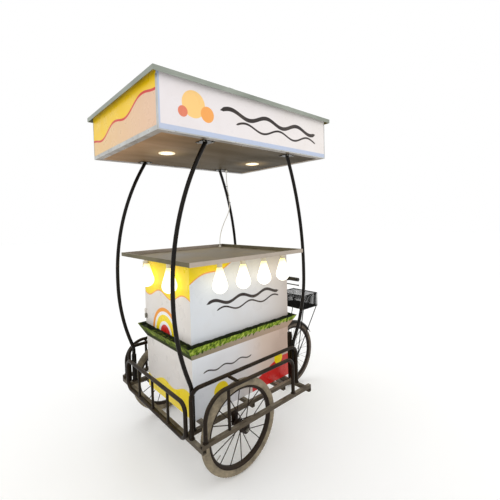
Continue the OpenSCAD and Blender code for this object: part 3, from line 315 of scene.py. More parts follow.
def above(finish, height, edge):
    """1 above an edge that may wander, 0 under it, with a printed edge's sharpness."""
    return finish.math("MULTIPLY_ADD", finish.minus(height, edge), 1 / EDGE, 0.5, clamp=True)


def wave(finish, along, level, slope, height, length):
    """Height of a sloping wave over a horizontal coordinate."""
    swing = finish.math("SINE", finish.times(along, 2 * math.pi / length))
    return finish.scaled(swing, height, finish.scaled(along, slope, level))


def disc(finish, along, centre, radius):
    """1 inside a printed disc at (along, z)."""
    across, over = finish.minus(along, centre[0]), finish.minus(finish.z, centre[1])
    return above(finish, radius, finish.distance(across, over))


def ribbon(finish, along, start, end, level, width, swing, length):
    """1 on a printed wave of even width between two places along a panel, tapered at its ends."""
    from_start = finish.minus(along, start)
    line = wave(finish, from_start, level, slope=0.0, height=swing, length=length)
    apart = finish.math("ABSOLUTE", finish.minus(finish.z, line))
    taper = finish.times(finish.math("MINIMUM", from_start, finish.minus(end, along)), 0.5)
    return above(finish, finish.math("MINIMUM", taper, width / 2), apart)


def rising_arcs(finish, under, along, centre, radius, share):
    """Arcs that rise from a panel's lower edge, printed where share is 1."""
    for reach, ink in ARC_RINGS:
        shown = finish.times(disc(finish, along, centre, radius * reach), share)
        under = finish.mix(shown, under, ink)
    return under


def field_above(finish, under, edge, ink, stripe_w, stripe_ink):
    """A field of ink above a wandering edge, with a stripe along the edge's lower side."""
    field = above(finish, finish.z, edge)
    stripe = finish.minus(above(finish, finish.z, finish.minus(edge, stripe_w)), field)
    return finish.mix(stripe, finish.mix(field, under, ink), stripe_ink)


def laminated(finish, colour):
    """Film over the print, with hand marks and a slight ripple."""
    grime = finish.levels(finish.noise(scale=6, detail=6), 0.45, 0.85, to_low=0.0, to_high=0.16)
    finish.set(base_color=finish.mix(grime, colour, GRIME), specular=0.28)
    sheen = finish.noise(scale=11, detail=4)
    finish.set(roughness=finish.levels(sheen, 0.3, 0.7, to_low=0.22, to_high=0.42))
    return finish.bump(finish.noise(scale=5, detail=2), distance=0.004, strength=0.18).material


def on_end(finish):
    """1 on panels that face along the cart, 0 on its long sides."""
    return finish.math("GREATER_THAN", finish.math("ABSOLUTE", finish.facing_x), 0.5)


def lined(finish, low, high, print_layer):
    """The print on a cabinet's three closed sides, and bare board inside and on its open side."""
    tail = finish.math("LESS_THAN", finish.x, low.x + BOARD_SKIN)
    nose = finish.math("GREATER_THAN", finish.x, high.x - BOARD_SKIN)
    side = finish.math("LESS_THAN", finish.y, low.y + BOARD_SKIN)
    outside = finish.math("MAXIMUM", finish.math("MAXIMUM", tail, nose), side)
    return finish.mix(outside, INSIDE, print_layer)


# Ribbons are (start, end, height, width), discs (along, height, radius), from a panel's lower corner
# at the bumper end.
UPPER_RIBBONS = ((0.12, 0.80, 0.25, 0.022), (0.20, 0.80, 0.195, 0.012))
UPPER_STRIPE_W = 0.008
ARCS_ALONG, ARCS_R = 0.34, 0.19
LOWER_DISCS = ((0.22, 0.12, 0.06), (0.78, 0.17, 0.045))
LOWER_RIBBON_ENDS = (0.08, 0.50)
FASCIA_DISCS = (
    (0.22, 0.17, 0.075, srgb(250, 205, 130)),
    (0.31, 0.13, 0.045, srgb(244, 168, 90)),
    (0.15, 0.12, 0.03, srgb(226, 128, 100)),
)
FASCIA_RIBBONS = ((0.40, 1.32, 0.175, 0.026), (0.52, 1.32, 0.11, 0.014))
FASCIA_STRIPE_W = 0.014
FASCIA_SILL_W, FASCIA_CORNER_W = 0.035, 0.017


def upper_panel():
    low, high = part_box("upper_cabinet")
    finish = Finish("upper_panel")
    from_tail, from_side = finish.minus(finish.x, low.x), finish.minus(finish.y, low.y)
    end = on_end(finish)
    side = finish.minus(1.0, end)
    faded = finish.ramp(
        finish.levels(from_tail, 0.0, high.x - low.x),
        (0.0, srgb(213, 218, 224)), (0.6, srgb(208, 207, 208)), (1.0, srgb(196, 186, 178)))
    side_edge = wave(finish, from_tail, level=high.z - 0.13, slope=0.34, height=0.018, length=0.35)
    end_edge = wave(finish, from_side, level=high.z - 0.235, slope=-0.03, height=0.024, length=0.33)
    edge = finish.levels(end, 0.0, 1.0, side_edge, end_edge)
    printed = field_above(finish, finish.mix(end, faded, END_BOARD), edge, YELLOW, UPPER_STRIPE_W, AMBER)
    for start, stop, height, width in UPPER_RIBBONS:
        mark = ribbon(finish, from_tail, start, stop, low.z + height, width, swing=0.016, length=0.24)
        printed = finish.mix(finish.times(mark, side), printed, INK)
    printed = rising_arcs(finish, printed, finish.y, (low.y + ARCS_ALONG, low.z), ARCS_R, end)
    # Painted shade: a dark band with a ragged top along the panel's foot, where the skirt's gutter shades it.
    gutter_shade_edge = finish.scaled(finish.noise(scale=26, detail=4), 0.016, low.z + 0.01)
    printed = finish.mix(above(finish, gutter_shade_edge, finish.z), printed, GUTTER_SHADE)
    return laminated(finish, lined(finish, low, high, printed))


def lower_panel():
    low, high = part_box("lower_cabinet")
    finish = Finish("lower_panel")
    along = finish.levels(finish.x, low.x, high.x)
    end = on_end(finish)
    side = finish.minus(1.0, end)
    faded = finish.ramp(
        along, (0.0, srgb(233, 237, 243)), (0.4, srgb(228, 226, 228)),
        (0.68, srgb(214, 194, 180)), (1.0, srgb(200, 172, 154)))
    red_edge = wave(finish, finish.x, level=low.z + 0.12, slope=0.22, height=0.02, length=0.5)
    red_half = finish.times(side, finish.levels(along, 0.55, 0.56))
    red_band = finish.times(above(finish, red_edge, finish.z), red_half)
    printed = finish.mix(red_band, finish.mix(end, faded, END_BOARD), RED)
    for place, height, radius in LOWER_DISCS:
        spot = disc(finish, finish.x, (low.x + place, low.z + height), radius)
        printed = finish.mix(finish.times(spot, side), printed, YELLOW)
    start, stop = (low.x + reach for reach in LOWER_RIBBON_ENDS)
    mark = ribbon(finish, finish.x, start, stop, level=high.z - 0.11, width=0.01, swing=0.008, length=0.14)
    printed = finish.mix(finish.times(mark, side), printed, INK)
    end_edge = wave(finish, finish.y, level=low.z + 0.13, slope=-0.1, height=0.018, length=0.3)
    printed = finish.mix(finish.times(above(finish, end_edge, finish.z), end), printed, YELLOW)
    return laminated(finish, lined(finish, low, high, printed))


def fascia_panel():
    low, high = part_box("canopy_fascia")
    finish = Finish("fascia_panel")
    from_tail = finish.minus(finish.x, low.x)
    side_print = finish.ramp(
        finish.levels(finish.x, low.x, high.x), (0.0, srgb(232, 226, 228)), (1.0, srgb(236, 230, 227)))
    sill = above(finish, low.z + FASCIA_SILL_W, finish.z)
    corner = above(finish, FASCIA_CORNER_W, from_tail)
    side_print = finish.mix(finish.math("MAXIMUM", sill, corner), side_print, PALE_BLUE)
    for place, height, radius, ink in FASCIA_DISCS:
        spot = disc(finish, finish.x, (low.x + place, low.z + height), radius)
        side_print = finish.mix(spot, side_print, ink)
    for start, stop, height, width in FASCIA_RIBBONS:
        mark = ribbon(finish, from_tail, start, stop, low.z + height, width, swing=0.02, length=0.31)
        side_print = finish.mix(mark, side_print, INK)
    end_shade = finish.ramp(
        finish.levels(finish.y, low.y, high.y), (0.0, srgb(226, 189, 160)), (1.0, srgb(228, 190, 128)))
    end_edge = wave(finish, finish.y, level=low.z + 0.175, slope=-0.12, height=0.022, length=0.42)
    end_print = field_above(finish, end_shade, end_edge, DEEP_YELLOW, FASCIA_STRIPE_W, RED)
    downward = finish.math("LESS_THAN", finish.facing_z, -0.5)
    printed = finish.mix(on_end(finish), side_print, end_print)
    return laminated(finish, finish.mix(downward, printed, BARE_EDGE))


def door_panel():
    finish = Finish("door_panel")
    return laminated(finish, finish.ramp(
        finish.noise(scale=2, detail=2), (0.3, srgb(236, 234, 230)), (0.7, srgb(226, 221, 214))))


def grass_print():
    """Turf printed on the skirt: ragged bright blades along the rim, bare tan board under them,
    dark green at the ends, and painted shade, near-black, on faces that look up in the gutter."""
    low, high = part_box("skirt")
    finish = Finish("grass_print", roughness=0.75, specular=0.1)
    blades = finish.noise(scale=55, detail=5, stretch=(1, 1, 0.25))
    tufts = finish.noise(scale=14)
    turf = finish.ramp(
        blades, (0.30, srgb(30, 44, 14)), (0.44, srgb(92, 118, 30)),
        (0.56, srgb(150, 172, 58)), (0.70, srgb(196, 206, 104)))
    turf_depth = finish.levels(finish.x, low.x, high.x, to_low=0.056, to_high=0.036)
    ragged = finish.scaled(finish.minus(blades, 0.5), 0.07, finish.minus(high.z, turf_depth))
    board = finish.ramp(
        finish.levels(finish.x, low.x, high.x),
        (0.0, srgb(140, 132, 104)), (0.4, srgb(174, 156, 136)), (1.0, srgb(190, 162, 140)))
    end_board = finish.mix(tufts, srgb(24, 28, 13), srgb(64, 70, 32))
    end = finish.math("GREATER_THAN", finish.math("ABSOLUTE", finish.facing_x), 0.4)
    worn = finish.times(end, finish.levels(tufts, 0.35, 0.65, to_low=0.75, to_high=0.3))
    rim = finish.mix(worn, turf, srgb(30, 34, 18))
    outside = finish.mix(above(finish, finish.z, ragged), finish.mix(end, board, end_board), rim)
    # Painted shade: upward faces, the gutter's floor and the rim's top, go near-black with a little turf.
    gutter = finish.mix(finish.levels(tufts, 0.45, 0.7, to_low=0.0, to_high=0.55), srgb(18, 25, 14), turf)
    upward = finish.math("GREATER_THAN", finish.facing_z, 0.2)
    finish.set(base_color=finish.mix(upward, outside, gutter))
    return finish.bump(blades, distance=0.004, strength=0.5).material


# Lights and sheets

# Painted pools of light on the ceiling round the downlights: their reach and their colour.
POOL_REACH = 0.2
PAINTED_POOL_COLOUR = srgb(222, 190, 140)


def painted_glow_bezel():
    """Pale enamelled ring with a painted glow, an emission that stands in for the light the lens inside it
    throws on it.
    """
    # Painted glow: the ring emits as if lit by the lens.
    painted_glow_colour = srgb(255, 226, 170)
    finish = Finish("bezel", roughness=0.35, emission_color=painted_glow_colour, emission_strength=0.55)
    speck = finish.levels(finish.noise(scale=60, detail=4), 0.4, 0.75, to_low=0.0, to_high=0.4)
    return finish.set(base_color=finish.mix(speck, srgb(240, 230, 208), srgb(206, 188, 156))).material


def ceiling_sheet():
    """Brown sheet with smears along it, a painted reflection that makes it lighter and warmer towards the
    bumper end, and a painted pool of light round each downlight.
    """
    low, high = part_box("canopy_ceiling")
    finish = Finish("ceiling_sheet", metallic=0.05, specular=0.02)
    # Painted reflection: lighter and warmer at the bumper end, darker towards the other end.
    tone = finish.ramp(
        finish.levels(finish.x, low.x, high.x),
        (0.0, srgb(176, 138, 98)), (0.3, srgb(112, 94, 68)), (0.7, srgb(86, 76, 58)), (1.0, srgb(74, 66, 52)))
    smears = finish.noise(scale=5, detail=5, stretch=(0.3, 1, 1))
    worn = finish.mix(finish.levels(smears, 0.35, 0.75, to_low=0.0, to_high=0.45), tone, srgb(54, 46, 33))
    lens_low, lens_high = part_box("downlight_lenses")
    lens_r = (lens_high.y - lens_low.y) / 2
    beside = finish.minus(finish.y, (lens_low.y + lens_high.y) / 2)
    # Painted light: a warm pool on the sheet round each downlight.
    for lens_x in (lens_low.x + lens_r, lens_high.x - lens_r):
        apart = finish.distance(finish.minus(finish.x, lens_x), beside)
        pool = finish.levels(apart, 0.0, POOL_REACH, to_low=1.0, to_high=0.0)
        worn = finish.mix(finish.times(finish.math("POWER", pool, 2.0), 0.7), worn, PAINTED_POOL_COLOUR)
    finish.set(base_color=worn)
    finish.set(roughness=finish.levels(smears, 0.3, 0.75, to_low=0.42, to_high=0.62))
    return finish.bump(finish.noise(scale=7, detail=1), distance=0.003, strength=0.3).material


def tray_sheet():
    """Stainless sheet with painted reflection: brighter on its long rims, darker on top and on its end rims.
    """
    finish = Finish("tray_steel", metallic=0.3, specular=0.08)
    brush, smears, blend = brushed(finish, LONG_BRUSH)
    # Painted reflection and shade: lit and shaded copies of one brushed steel, chosen by which way each face
    # looks.
    top = finish.mix(blend, srgb(98, 86, 60), srgb(152, 136, 102))
    lit_side_rim = finish.mix(blend, srgb(156, 146, 133), srgb(192, 179, 166))
    end_rim = finish.mix(blend, srgb(84, 78, 58), srgb(138, 130, 104))
    rim = finish.mix(on_end(finish), lit_side_rim, end_rim)
    upright = finish.math("LESS_THAN", finish.math("ABSOLUTE", finish.facing_z), 0.5)
    finish.set(base_color=finish.mix(upright, top, rim))
    finish.set(roughness=finish.levels(smears, 0.3, 0.75, to_low=0.42, to_high=0.6))
    return dented(finish, brush)


# Dressing of the CAD nodes

FRAME_PAINT = dusty_paint("frame_paint", srgb(24, 17, 10), srgb(128, 108, 82), most_dust=0.34)
RAIL_PAINT = dusty_paint("rail_paint", srgb(66, 58, 47), srgb(164, 155, 137), most_dust=0.85, roughness=0.4)
POST_PAINT = dusty_paint("post_paint", srgb(17, 14, 11), srgb(112, 102, 88), most_dust=0.14, roughness=0.24)
BIKE_PAINT = dusty_paint("bike_paint", srgb(26, 24, 22), srgb(128, 116, 100), most_dust=0.3, roughness=0.25)
WIRE_PAINT = dusty_paint("wire_paint", srgb(8, 8, 7), srgb(56, 50, 43), most_dust=0.08, roughness=0.6)
RIM_PAINT = dusty_paint("rim_paint", srgb(30, 22, 16), srgb(110, 94, 74), most_dust=0.35, roughness=0.4)
ZINC = plated("zinc", srgb(176, 172, 162))
CHROME = plated("chrome", srgb(188, 184, 176), roughness=0.14)
SPOKE = plated("spoke_steel", srgb(120, 114, 106), roughness=0.35)
ROOF = sheet_metal("roof_sheet", srgb(170, 176, 166), srgb(128, 134, 124), 0.32, LONG_BRUSH)
TRIM = sheet_metal("edge_trim", srgb(206, 208, 206), srgb(168, 168, 164), 0.3, EVEN_BRUSH)
CART_RUBBER = rubber("cart_rubber", srgb(98, 88, 70), srgb(148, 135, 111))
BIKE_RUBBER = rubber("bike_rubber", srgb(66, 57, 50), srgb(108, 96, 82))
GRIP = rubber("grip_rubber", srgb(22, 21, 20), srgb(52, 48, 44))
HOLDER = moulded("holder_plastic", srgb(226, 218, 198))
SHEATH = moulded("cable_sheath", srgb(232, 230, 224), roughness=0.4)
BULB = glowing("bulb_glow", "lamp_bulbs", srgb(255, 252, 236), srgb(255, 232, 150), strength=1.5)
LENS = glowing("lens_glow", "downlight_lenses", srgb(255, 250, 228), srgb(255, 236, 180), strength=2.6)

FINISHES = {
    FRAME_PAINT: ("axle_brackets", "front_uprights", "side_guards", "wheel_guards", "guard_braces",
                  "bumper_loop", "bumper_uprights"),
    RAIL_PAINT: ("long_rails", "cross_rails"),
    POST_PAINT: ("post_sockets", "post_tail_right", "post_tail_left", "post_nose_right",
                 "post_nose_left", "post_flanges"),
    BIKE_PAINT: ("bike_frame", "fork", "mudguard", "brake_lever_right", "brake_lever_left"),
    WIRE_PAINT: ("basket", "basket_stays"),
    RIM_PAINT: ("front_rim", "front_hub", "right_rim_spokes", "right_hub", "left_rim_spokes", "left_hub"),
    ZINC: ("flange_bolts", "door_tail_knob", "door_nose_knob", "hinge_leaves", "hinge_pins",
           "front_axle", "cart_axles"),
    CHROME: ("headset_cups", "stem", "handlebar", "lever_clamps"),
    SPOKE: ("front_spokes",),
    tray_sheet(): ("counter_tray",),
    ROOF: ("canopy_roof",),
    ceiling_sheet(): ("canopy_ceiling",),
    painted_glow_bezel(): ("downlight_bezels",),
    CART_RUBBER: ("right_tyre", "left_tyre"),
    BIKE_RUBBER: ("front_tyre",),
    GRIP: ("grips",),
    HOLDER: ("lamp_holders",),
    SHEATH: ("cable_glands", "lamp_cable"),
    upper_panel(): ("upper_cabinet",),
    lower_panel(): ("lower_cabinet",),
    fascia_panel(): ("canopy_fascia",),
    door_panel(): ("door_tail", "door_nose"),
    grass_print(): ("skirt",),
    BULB: ("lamp_bulbs",),
    LENS: ("downlight_lenses",),
}


def dress(node, material):
    mesh = nodes[node].data
    mesh.materials.clear()
    mesh.materials.append(material)


for material, dressed in FINISHES.items():
    for name in dressed:
        dress(name, material)


# Pieces

WIRE_ROUNDNESS = 3


def add_piece(name, data, material, body):
    data.materials.append(material)
    piece = bpy.data.objects.new(name, data)
    scene.collection.objects.link(piece)
    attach(piece, body)
    return piece


def curve_piece(name, runs, thickness, material, body, closed=False):
    """One curve object of round wire along each run of points."""
    data = bpy.data.curves.new(name, "CURVE")
    data.dimensions = "3D"
    data.bevel_depth = thickness / 2
    data.bevel_resolution = WIRE_ROUNDNESS
    data.use_fill_caps = True
    for points in runs:
        spline = data.splines.new("POLY")
        spline.points.add(len(points) - 1)
        for point, place in zip(spline.points, points):
            point.co = (*place, 1.0)
        spline.use_cyclic_u = closed
        spline.use_smooth = True
    return add_piece(name, data, material, body)


def mesh_piece(name, mesh, material, body, smooth=True):
    """A mesh object made from a bmesh, shaded smooth unless told otherwise."""
    data = bpy.data.meshes.new(name)
    mesh.to_mesh(data)
    mesh.free()
    for polygon in data.polygons:
        polygon.use_smooth = smooth
    return add_piece(name, data, material, body)


# Cable from the canopy ceiling to the tray

CABLE_D = 0.007
# Route in millimetres, as in the part's source. The frame's origin lies ROUTE_SHIFT from the source's.
CABLE_ROUTE = (
    (468, 398, 2051), (468, 398, 2020), (470, 398, 1980), (474, 398, 1940), (479, 398, 1900),
    (485, 398, 1860), (491, 398, 1820), (496, 398, 1780), (498, 398, 1745), (495, 399, 1712),
    (486, 401, 1680), (472, 404, 1648), (455, 408, 1614), (437, 412, 1578), (420, 416, 1540),
    (405, 418, 1500), (394, 420, 1460), (388, 420, 1425), (386, 420, 1398), (386, 420, 1373),
)
ROUTE_SHIFT = Vector((0.2415, 0, 0))


def smooth_route(points, steps=6):
    """The route as a smooth curve through its points."""
    made = []
    for i in range(len(points) - 1):
        a, b, c, d = (points[min(max(i + k, 0), len(points) - 1)] for k in (-1, 0, 1, 2))
        for k in range(steps):
            t = k / steps
            made.append((2 * b + (c - a) * t + (2 * a - 5 * b + 4 * c - d) * t ** 2
                         + (3 * b - a - 3 * c + d) * t ** 3) / 2)
    return made + [points[-1]]


CABLE_LINE = smooth_route([Vector(point) / 1000 - ROUTE_SHIFT for point in CABLE_ROUTE])


def add_cable():
    route = CABLE_LINE
    cable = curve_piece("hanging_cable", [route], CABLE_D, SHEATH, "chassis")
    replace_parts(cable, "lamp_cable")


add_cable()


# Tyres with a moulded tread

CART_BLOCKS, CART_GROOVE = 84, 0.0013
BIKE_BLOCKS, BIKE_GROOVE = 96, 0.0014
TREAD_STEPS = 3
SECTION_STEPS = 36
# Degrees from the crown where the centre rib ends and where the shoulder's blocks and step lie
RIB_END, BLOCKS_FROM, BLOCKS_TO, STEP_TO = 10, 25, 65, 75


def grooved(ring, from_crown):
    """Whether the tread lies deep at a ring and an angle from the crown."""
    between_blocks = ring % TREAD_STEPS == 0 and BLOCKS_FROM < from_crown < BLOCKS_TO
    return between_blocks or RIB_END < from_crown < BLOCKS_FROM or BLOCKS_TO <= from_crown < STEP_TO


def add_tyre(node, body, material, blocks, groove):
    """A tyre of the node's size, with shoulder blocks, a centre rib and a step above the rim."""
    low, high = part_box(node)
    centre = (low + high) / 2
    section_r = (high.y - low.y) / 2
    ring_r = (high.z - low.z) / 2 - section_r
    rings = blocks * TREAD_STEPS
    mesh = bmesh.new()
    grid = []
    for i in range(rings):
        turn = 2 * math.pi * i / rings
        section = []
        for k in range(SECTION_STEPS):
            tilt = 2 * math.pi * k / SECTION_STEPS
            from_crown = abs(math.degrees(math.atan2(math.sin(tilt), math.cos(tilt))))
            r = section_r - (groove if grooved(i, from_crown) else 0)
            reach = ring_r + r * math.cos(tilt)
            place = Vector((reach * math.cos(turn), r * math.sin(tilt), reach * math.sin(turn)))
            section.append(mesh.verts.new(centre + place))
        grid.append(section)
    for i in range(rings):
        for k in range(SECTION_STEPS):
            after, over = grid[(i + 1) % rings], (k + 1) % SECTION_STEPS
            mesh.faces.new((grid[i][k], grid[i][over], after[over], after[k]))
    bmesh.ops.recalc_face_normals(mesh, faces=mesh.faces)
    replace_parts(mesh_piece(node + "_tread", mesh, material, body, smooth=False), node)


add_tyre("right_tyre", "right_wheel", CART_RUBBER, CART_BLOCKS, CART_GROOVE)
add_tyre("left_tyre", "left_wheel", CART_RUBBER, CART_BLOCKS, CART_GROOVE)
add_tyre("front_tyre", "front_wheel", BIKE_RUBBER, BIKE_BLOCKS, BIKE_GROOVE)


# Trims, rivets, seams and screws

EASED_EDGE = 0.0004
DOME_SIDES, DOME_RINGS, DOME_FLATNESS = 10, 6, 0.5


def add_block(mesh, low, high):
    """A box with eased edges."""
    size, middle = Vector(high) - Vector(low), (Vector(low) + Vector(high)) / 2
    place = Matrix.Translation(middle) @ Matrix.Diagonal((*size, 1.0))
    made = bmesh.ops.create_cube(mesh, size=1.0, matrix=place)
    edges = list({side for vertex in made["verts"] for side in vertex.link_edges})
    bmesh.ops.bevel(mesh, geom=edges, offset=EASED_EDGE, segments=1, affect="EDGES")


def add_dome(mesh, place, outward, radius):
    """A low round head that stands out of a face."""
    turn = Vector(outward).to_track_quat("Z", "Y").to_matrix().to_4x4()
    matrix = Matrix.Translation(place) @ turn @ Matrix.Diagonal((1.0, 1.0, DOME_FLATNESS, 1.0))
    bmesh.ops.create_uvsphere(
        mesh, u_segments=DOME_SIDES, v_segments=DOME_RINGS, radius=radius, matrix=matrix)


TRIM_W = 0.007
END_TRIM_W = 0.024
TRIM_T = 0.0016
RIVET_R = 0.003
RIVET_PITCH = 0.2


def fascia_faces(low, high):
    """(outward, along, length, the face's middle at floor height) of the fascia's four sides."""
    middle = (low + high) / 2
    for sign, corner in ((-1, low), (1, high)):
        yield Vector((0, sign, 0)), Vector((1, 0, 0)), high.x - low.x, Vector((middle.x, corner.y, 0))
        yield Vector((sign, 0, 0)), Vector((0, 1, 0)), high.y - low.y, Vector((corner.x, middle.y, 0))


def add_fascia_trim():
    """Aluminium angle round the fascia's lower edge and up its corners, held by rivets."""
    low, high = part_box("canopy_fascia")
    roof_low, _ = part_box("canopy_roof")
    top = roof_low.z - TRIM_T
    trim, rivets = bmesh.new(), bmesh.new()
    for outward, along, length, face in fascia_faces(low, high):
        half = length / 2
        sill = END_TRIM_W if abs(outward.x) > 0.5 else TRIM_W
        sill_z = low.z + sill
        for start, end, bottom, upper in (
            (-half, half, low.z, sill_z),
            (-half, TRIM_W - half, sill_z, top),
            (half - TRIM_W, half, sill_z, top),
        ):
            corners = [face + along * reach + outward * depth
                       for reach in (start, end) for depth in (0.0, TRIM_T)]
            xs, ys = [corner.x for corner in corners], [corner.y for corner in corners]
            add_block(trim, (min(xs), min(ys), bottom), (max(xs), max(ys), upper))
        count = round(length / RIVET_PITCH)
        for i in range(count):
            reach = (i + 0.5) / count * length - half
            height = Vector((0, 0, low.z + sill / 2))
            add_dome(rivets, face + along * reach + outward * TRIM_T + height, outward, RIVET_R)
    mesh_piece("fascia_trim", trim, TRIM, "chassis", smooth=False)
    mesh_piece("fascia_rivets", rivets, ZINC, "chassis")


add_fascia_trim()

SEAM_W = 0.036
SEAM_SHARES = (0.33, 0.67)
SCREW_INSET = 0.02
SCREW_PITCH = 0.18
UPWARD = (0, 0, 1)


def row(start, end, pitch):
    """Evenly spaced places from one point to another, about a pitch apart."""
    count = max(1, round((end - start).length / pitch))
    return [start.lerp(end, i / count) for i in range(count + 1)]


def add_roof_seams():
    """Cover strips over the roof sheet's two laps, and screws along them and round the roof's edge."""
    low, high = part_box("canopy_roof")
    strips, screws = bmesh.new(), bmesh.new()
    left, right = low.y + SCREW_INSET, high.y - SCREW_INSET
    tail, nose = low.x + SCREW_INSET, high.x - SCREW_INSET
    seam_top = high.z + TRIM_T
    for share in SEAM_SHARES:
        x = low.x + share * (high.x - low.x)
        add_block(strips, (x - SEAM_W / 2, low.y, high.z), (x + SEAM_W / 2, high.y, seam_top))
        for place in row(Vector((x, left, seam_top)), Vector((x, right, seam_top)), SCREW_PITCH):
            add_dome(screws, place, UPWARD, RIVET_R)
    plan = ((tail, left), (nose, left), (nose, right), (tail, right))
    corners = [Vector((x, y, high.z)) for x, y in plan]
    for start, end in zip(corners, corners[1:] + corners[:1]):
        for place in row(start, end, SCREW_PITCH)[:-1]:
            add_dome(screws, place, UPWARD, RIVET_R)
    mesh_piece("roof_seams", strips, ROOF, "chassis", smooth=False)
    mesh_piece("roof_screws", screws, ZINC, "chassis")


add_roof_seams()


# Welds, cable ties, the basket's fine wires and the tyres' valves

BEAD_D = 0.007
BEAD_STEPS = 40
BEAD_SWELL, BEAD_SWELLS = 0.0007, 9
BEAD_DIMPLE, BEAD_DIMPLES = 0.0004, 23
FOOT_BAND = 0.004
FOOT_APART = 0.08


def bead(centre, radius):
    """A level weld bead round an upright tube, a little uneven."""
    ring = []
    for i in range(BEAD_STEPS):
        turn = 2 * math.pi * i / BEAD_STEPS
        swell = BEAD_SWELL * math.sin(BEAD_SWELLS * turn)
        dimple = BEAD_DIMPLE * math.sin(BEAD_DIMPLES * turn + centre[0])
        r = radius + swell + dimple
        ring.append((centre[0] + r * math.cos(turn), centre[1] + r * math.sin(turn), centre[2]))
    return ring


def foot_places(node):
    """(x, y, z, radius) of the tubes of a node that stand at its lowest height."""
    low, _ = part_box(node)
    feet = []
    for vertex in nodes[node].data.vertices:
        if vertex.co.z < low.z + FOOT_BAND:
            spot = vertex.co.xy
            near = next((points for points in feet if (points[0] - spot).length < FOOT_APART), None)
            if near:
                near.append(spot)
            else:
                feet.append([spot])
    places = []
    for points in feet:
        xs, ys = [point.x for point in points], [point.y for point in points]
        middle = ((min(xs) + max(xs)) / 2, (min(ys) + max(ys)) / 2)
        places.append((*middle, low.z, (max(xs) - min(xs)) / 2))
    return places


def add_welds():
    rings = []
    for node in ("side_guards", "wheel_guards", "post_sockets"):
        for x, y, z, radius in foot_places(node):
            rings.append(bead((x, y, z + BEAD_D / 3), radius + BEAD_D / 4))
    curve_piece("weld_beads", rings, BEAD_D, FRAME_PAINT, "chassis", closed=True)


add_welds()

POST_R = 0.013
TIE_HEIGHTS = (1.93, 1.84, 1.77)
TIE_D = 0.0028
TIE_STEPS = 24


def add_cable_ties():
    """Loops that hold the cable's upper stretch to the post beside it."""
    post = nodes["post_nose_left"]
    loops = []
    for height in TIE_HEIGHTS:
        cable = min(CABLE_LINE, key=lambda point: abs(point.z - height))
        _, hit, normal, _ = post.closest_point_on_mesh(cable)
        reach = (cable - hit).length + CABLE_D / 2
        outward = Vector((normal.x, normal.y, 0)).normalized()
        beside = Vector((-outward.y, outward.x, 0))
        near, far = POST_R + TIE_D / 2, POST_R + reach + TIE_D / 2
        half_l, half_w = (near + far) / 2, POST_R + TIE_D
        centre = hit - normal * POST_R + outward * (far - near) / 2
        loops.append([centre + outward * half_l * math.cos(turn) + beside * half_w * math.sin(turn)
                      for turn in (2 * math.pi * i / TIE_STEPS for i in range(TIE_STEPS))])
    curve_piece("cable_ties", loops, TIE_D, GRIP, "chassis", closed=True)


add_cable_ties()

WEAVE_D = 0.003
WEAVE_PITCH = 0.0068
WEAVE_INSET = 0.0055


def add_basket_weave():
    """Fine wires inside the basket's grilles: level hoops, and a close net over its floor."""
    low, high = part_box("basket")
    x0, x1 = low.x + WEAVE_INSET, high.x - WEAVE_INSET
    y0, y1 = low.y + WEAVE_INSET, high.y - WEAVE_INSET
    floor = low.z + WEAVE_INSET
    hoops = []
    for i in range(1, int((high.z - low.z) / WEAVE_PITCH)):
        z = low.z + i * WEAVE_PITCH
        hoops.append([(x0, y0, z), (x1, y0, z), (x1, y1, z), (x0, y1, z)])
    curve_piece("basket_hoops", hoops, WEAVE_D, WIRE_PAINT, "steering", closed=True)
    net = [[(x0 + i * WEAVE_PITCH, y0, floor), (x0 + i * WEAVE_PITCH, y1, floor)]
           for i in range(1, int((x1 - x0) / WEAVE_PITCH))]
    curve_piece("basket_net", net, WEAVE_D, WIRE_PAINT, "steering")


add_basket_weave()

VALVE_D = 0.006
VALVE_L = 0.034
CART_VALVE_DEPTH, BIKE_VALVE_DEPTH = 0.066, 0.054


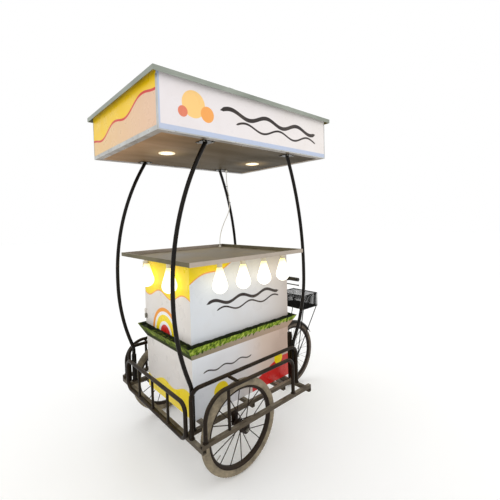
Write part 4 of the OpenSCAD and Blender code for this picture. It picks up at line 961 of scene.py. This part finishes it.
def add_valve(node, body, depth, turn):
    """Valve stem that stands out of the rim towards the hub, at a turn in radians."""
    low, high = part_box(node)
    centre = (low + high) / 2
    rim_r = (high.z - low.z) / 2 - depth
    way = Vector((math.cos(turn), 0, math.sin(turn)))
    start, end = centre + way * rim_r, centre + way * (rim_r - VALVE_L)
    curve_piece(body + "_valve", [[start, end]], VALVE_D, ZINC, body)


add_valve("right_tyre", "right_wheel", CART_VALVE_DEPTH, turn=3.75)
add_valve("left_tyre", "left_wheel", CART_VALVE_DEPTH, turn=0.6)
add_valve("front_tyre", "front_wheel", BIKE_VALVE_DEPTH, turn=2.3)


# Stage

FLOOR_HALF = 30
PURE_WHITE = (1.0, 1.0, 1.0, 1.0)
LIGHT_AIM = Vector((0, 0, 1.1))
# (name, place, size, watts, colour)
LIGHTS = (
    ("key_light", (-3.2, -3.4, 3.6), 2.6, 14, (1.0, 0.98, 0.95)),
    ("fill_light", (2.6, -3.0, 2.4), 2.2, 4, (1.0, 0.93, 0.88)),
    ("back_light", (0.5, 3.6, 3.2), 2.6, 10, (0.95, 0.97, 1.0)),
)


def add_floor():
    mesh = bmesh.new()
    bmesh.ops.create_grid(mesh, x_segments=1, y_segments=1, size=FLOOR_HALF)
    data = bpy.data.meshes.new("floor")
    mesh.to_mesh(data)
    mesh.free()
    finish = Finish("pale_floor", roughness=0.9, specular=0.1)
    finish.set(emission_color=PURE_WHITE, emission_strength=0.06)
    tone = finish.mix(finish.noise(scale=2), srgb(250, 250, 249), srgb(253, 253, 252))
    data.materials.append(finish.set(base_color=tone).material)
    floor = bpy.data.objects.new("floor", data)
    scene.collection.objects.link(floor)


def add_lights():
    world = bpy.data.worlds.new("studio")
    world.use_nodes = True
    background = world.node_tree.nodes["Background"]
    background.inputs["Color"].default_value = PURE_WHITE
    background.inputs["Strength"].default_value = 1.0
    scene.world = world
    scene.view_settings.view_transform = "Standard"
    for name, place, size, watts, colour in LIGHTS:
        lamp = bpy.data.lights.new(name, "AREA")
        lamp.size = size
        lamp.energy = watts
        lamp.color = colour
        light = bpy.data.objects.new(name, lamp)
        turn = (LIGHT_AIM - Vector(place)).to_track_quat("-Z", "Y").to_matrix().to_4x4()
        light.matrix_world = Matrix.Translation(place) @ turn
        scene.collection.objects.link(light)


add_floor()
add_lights()
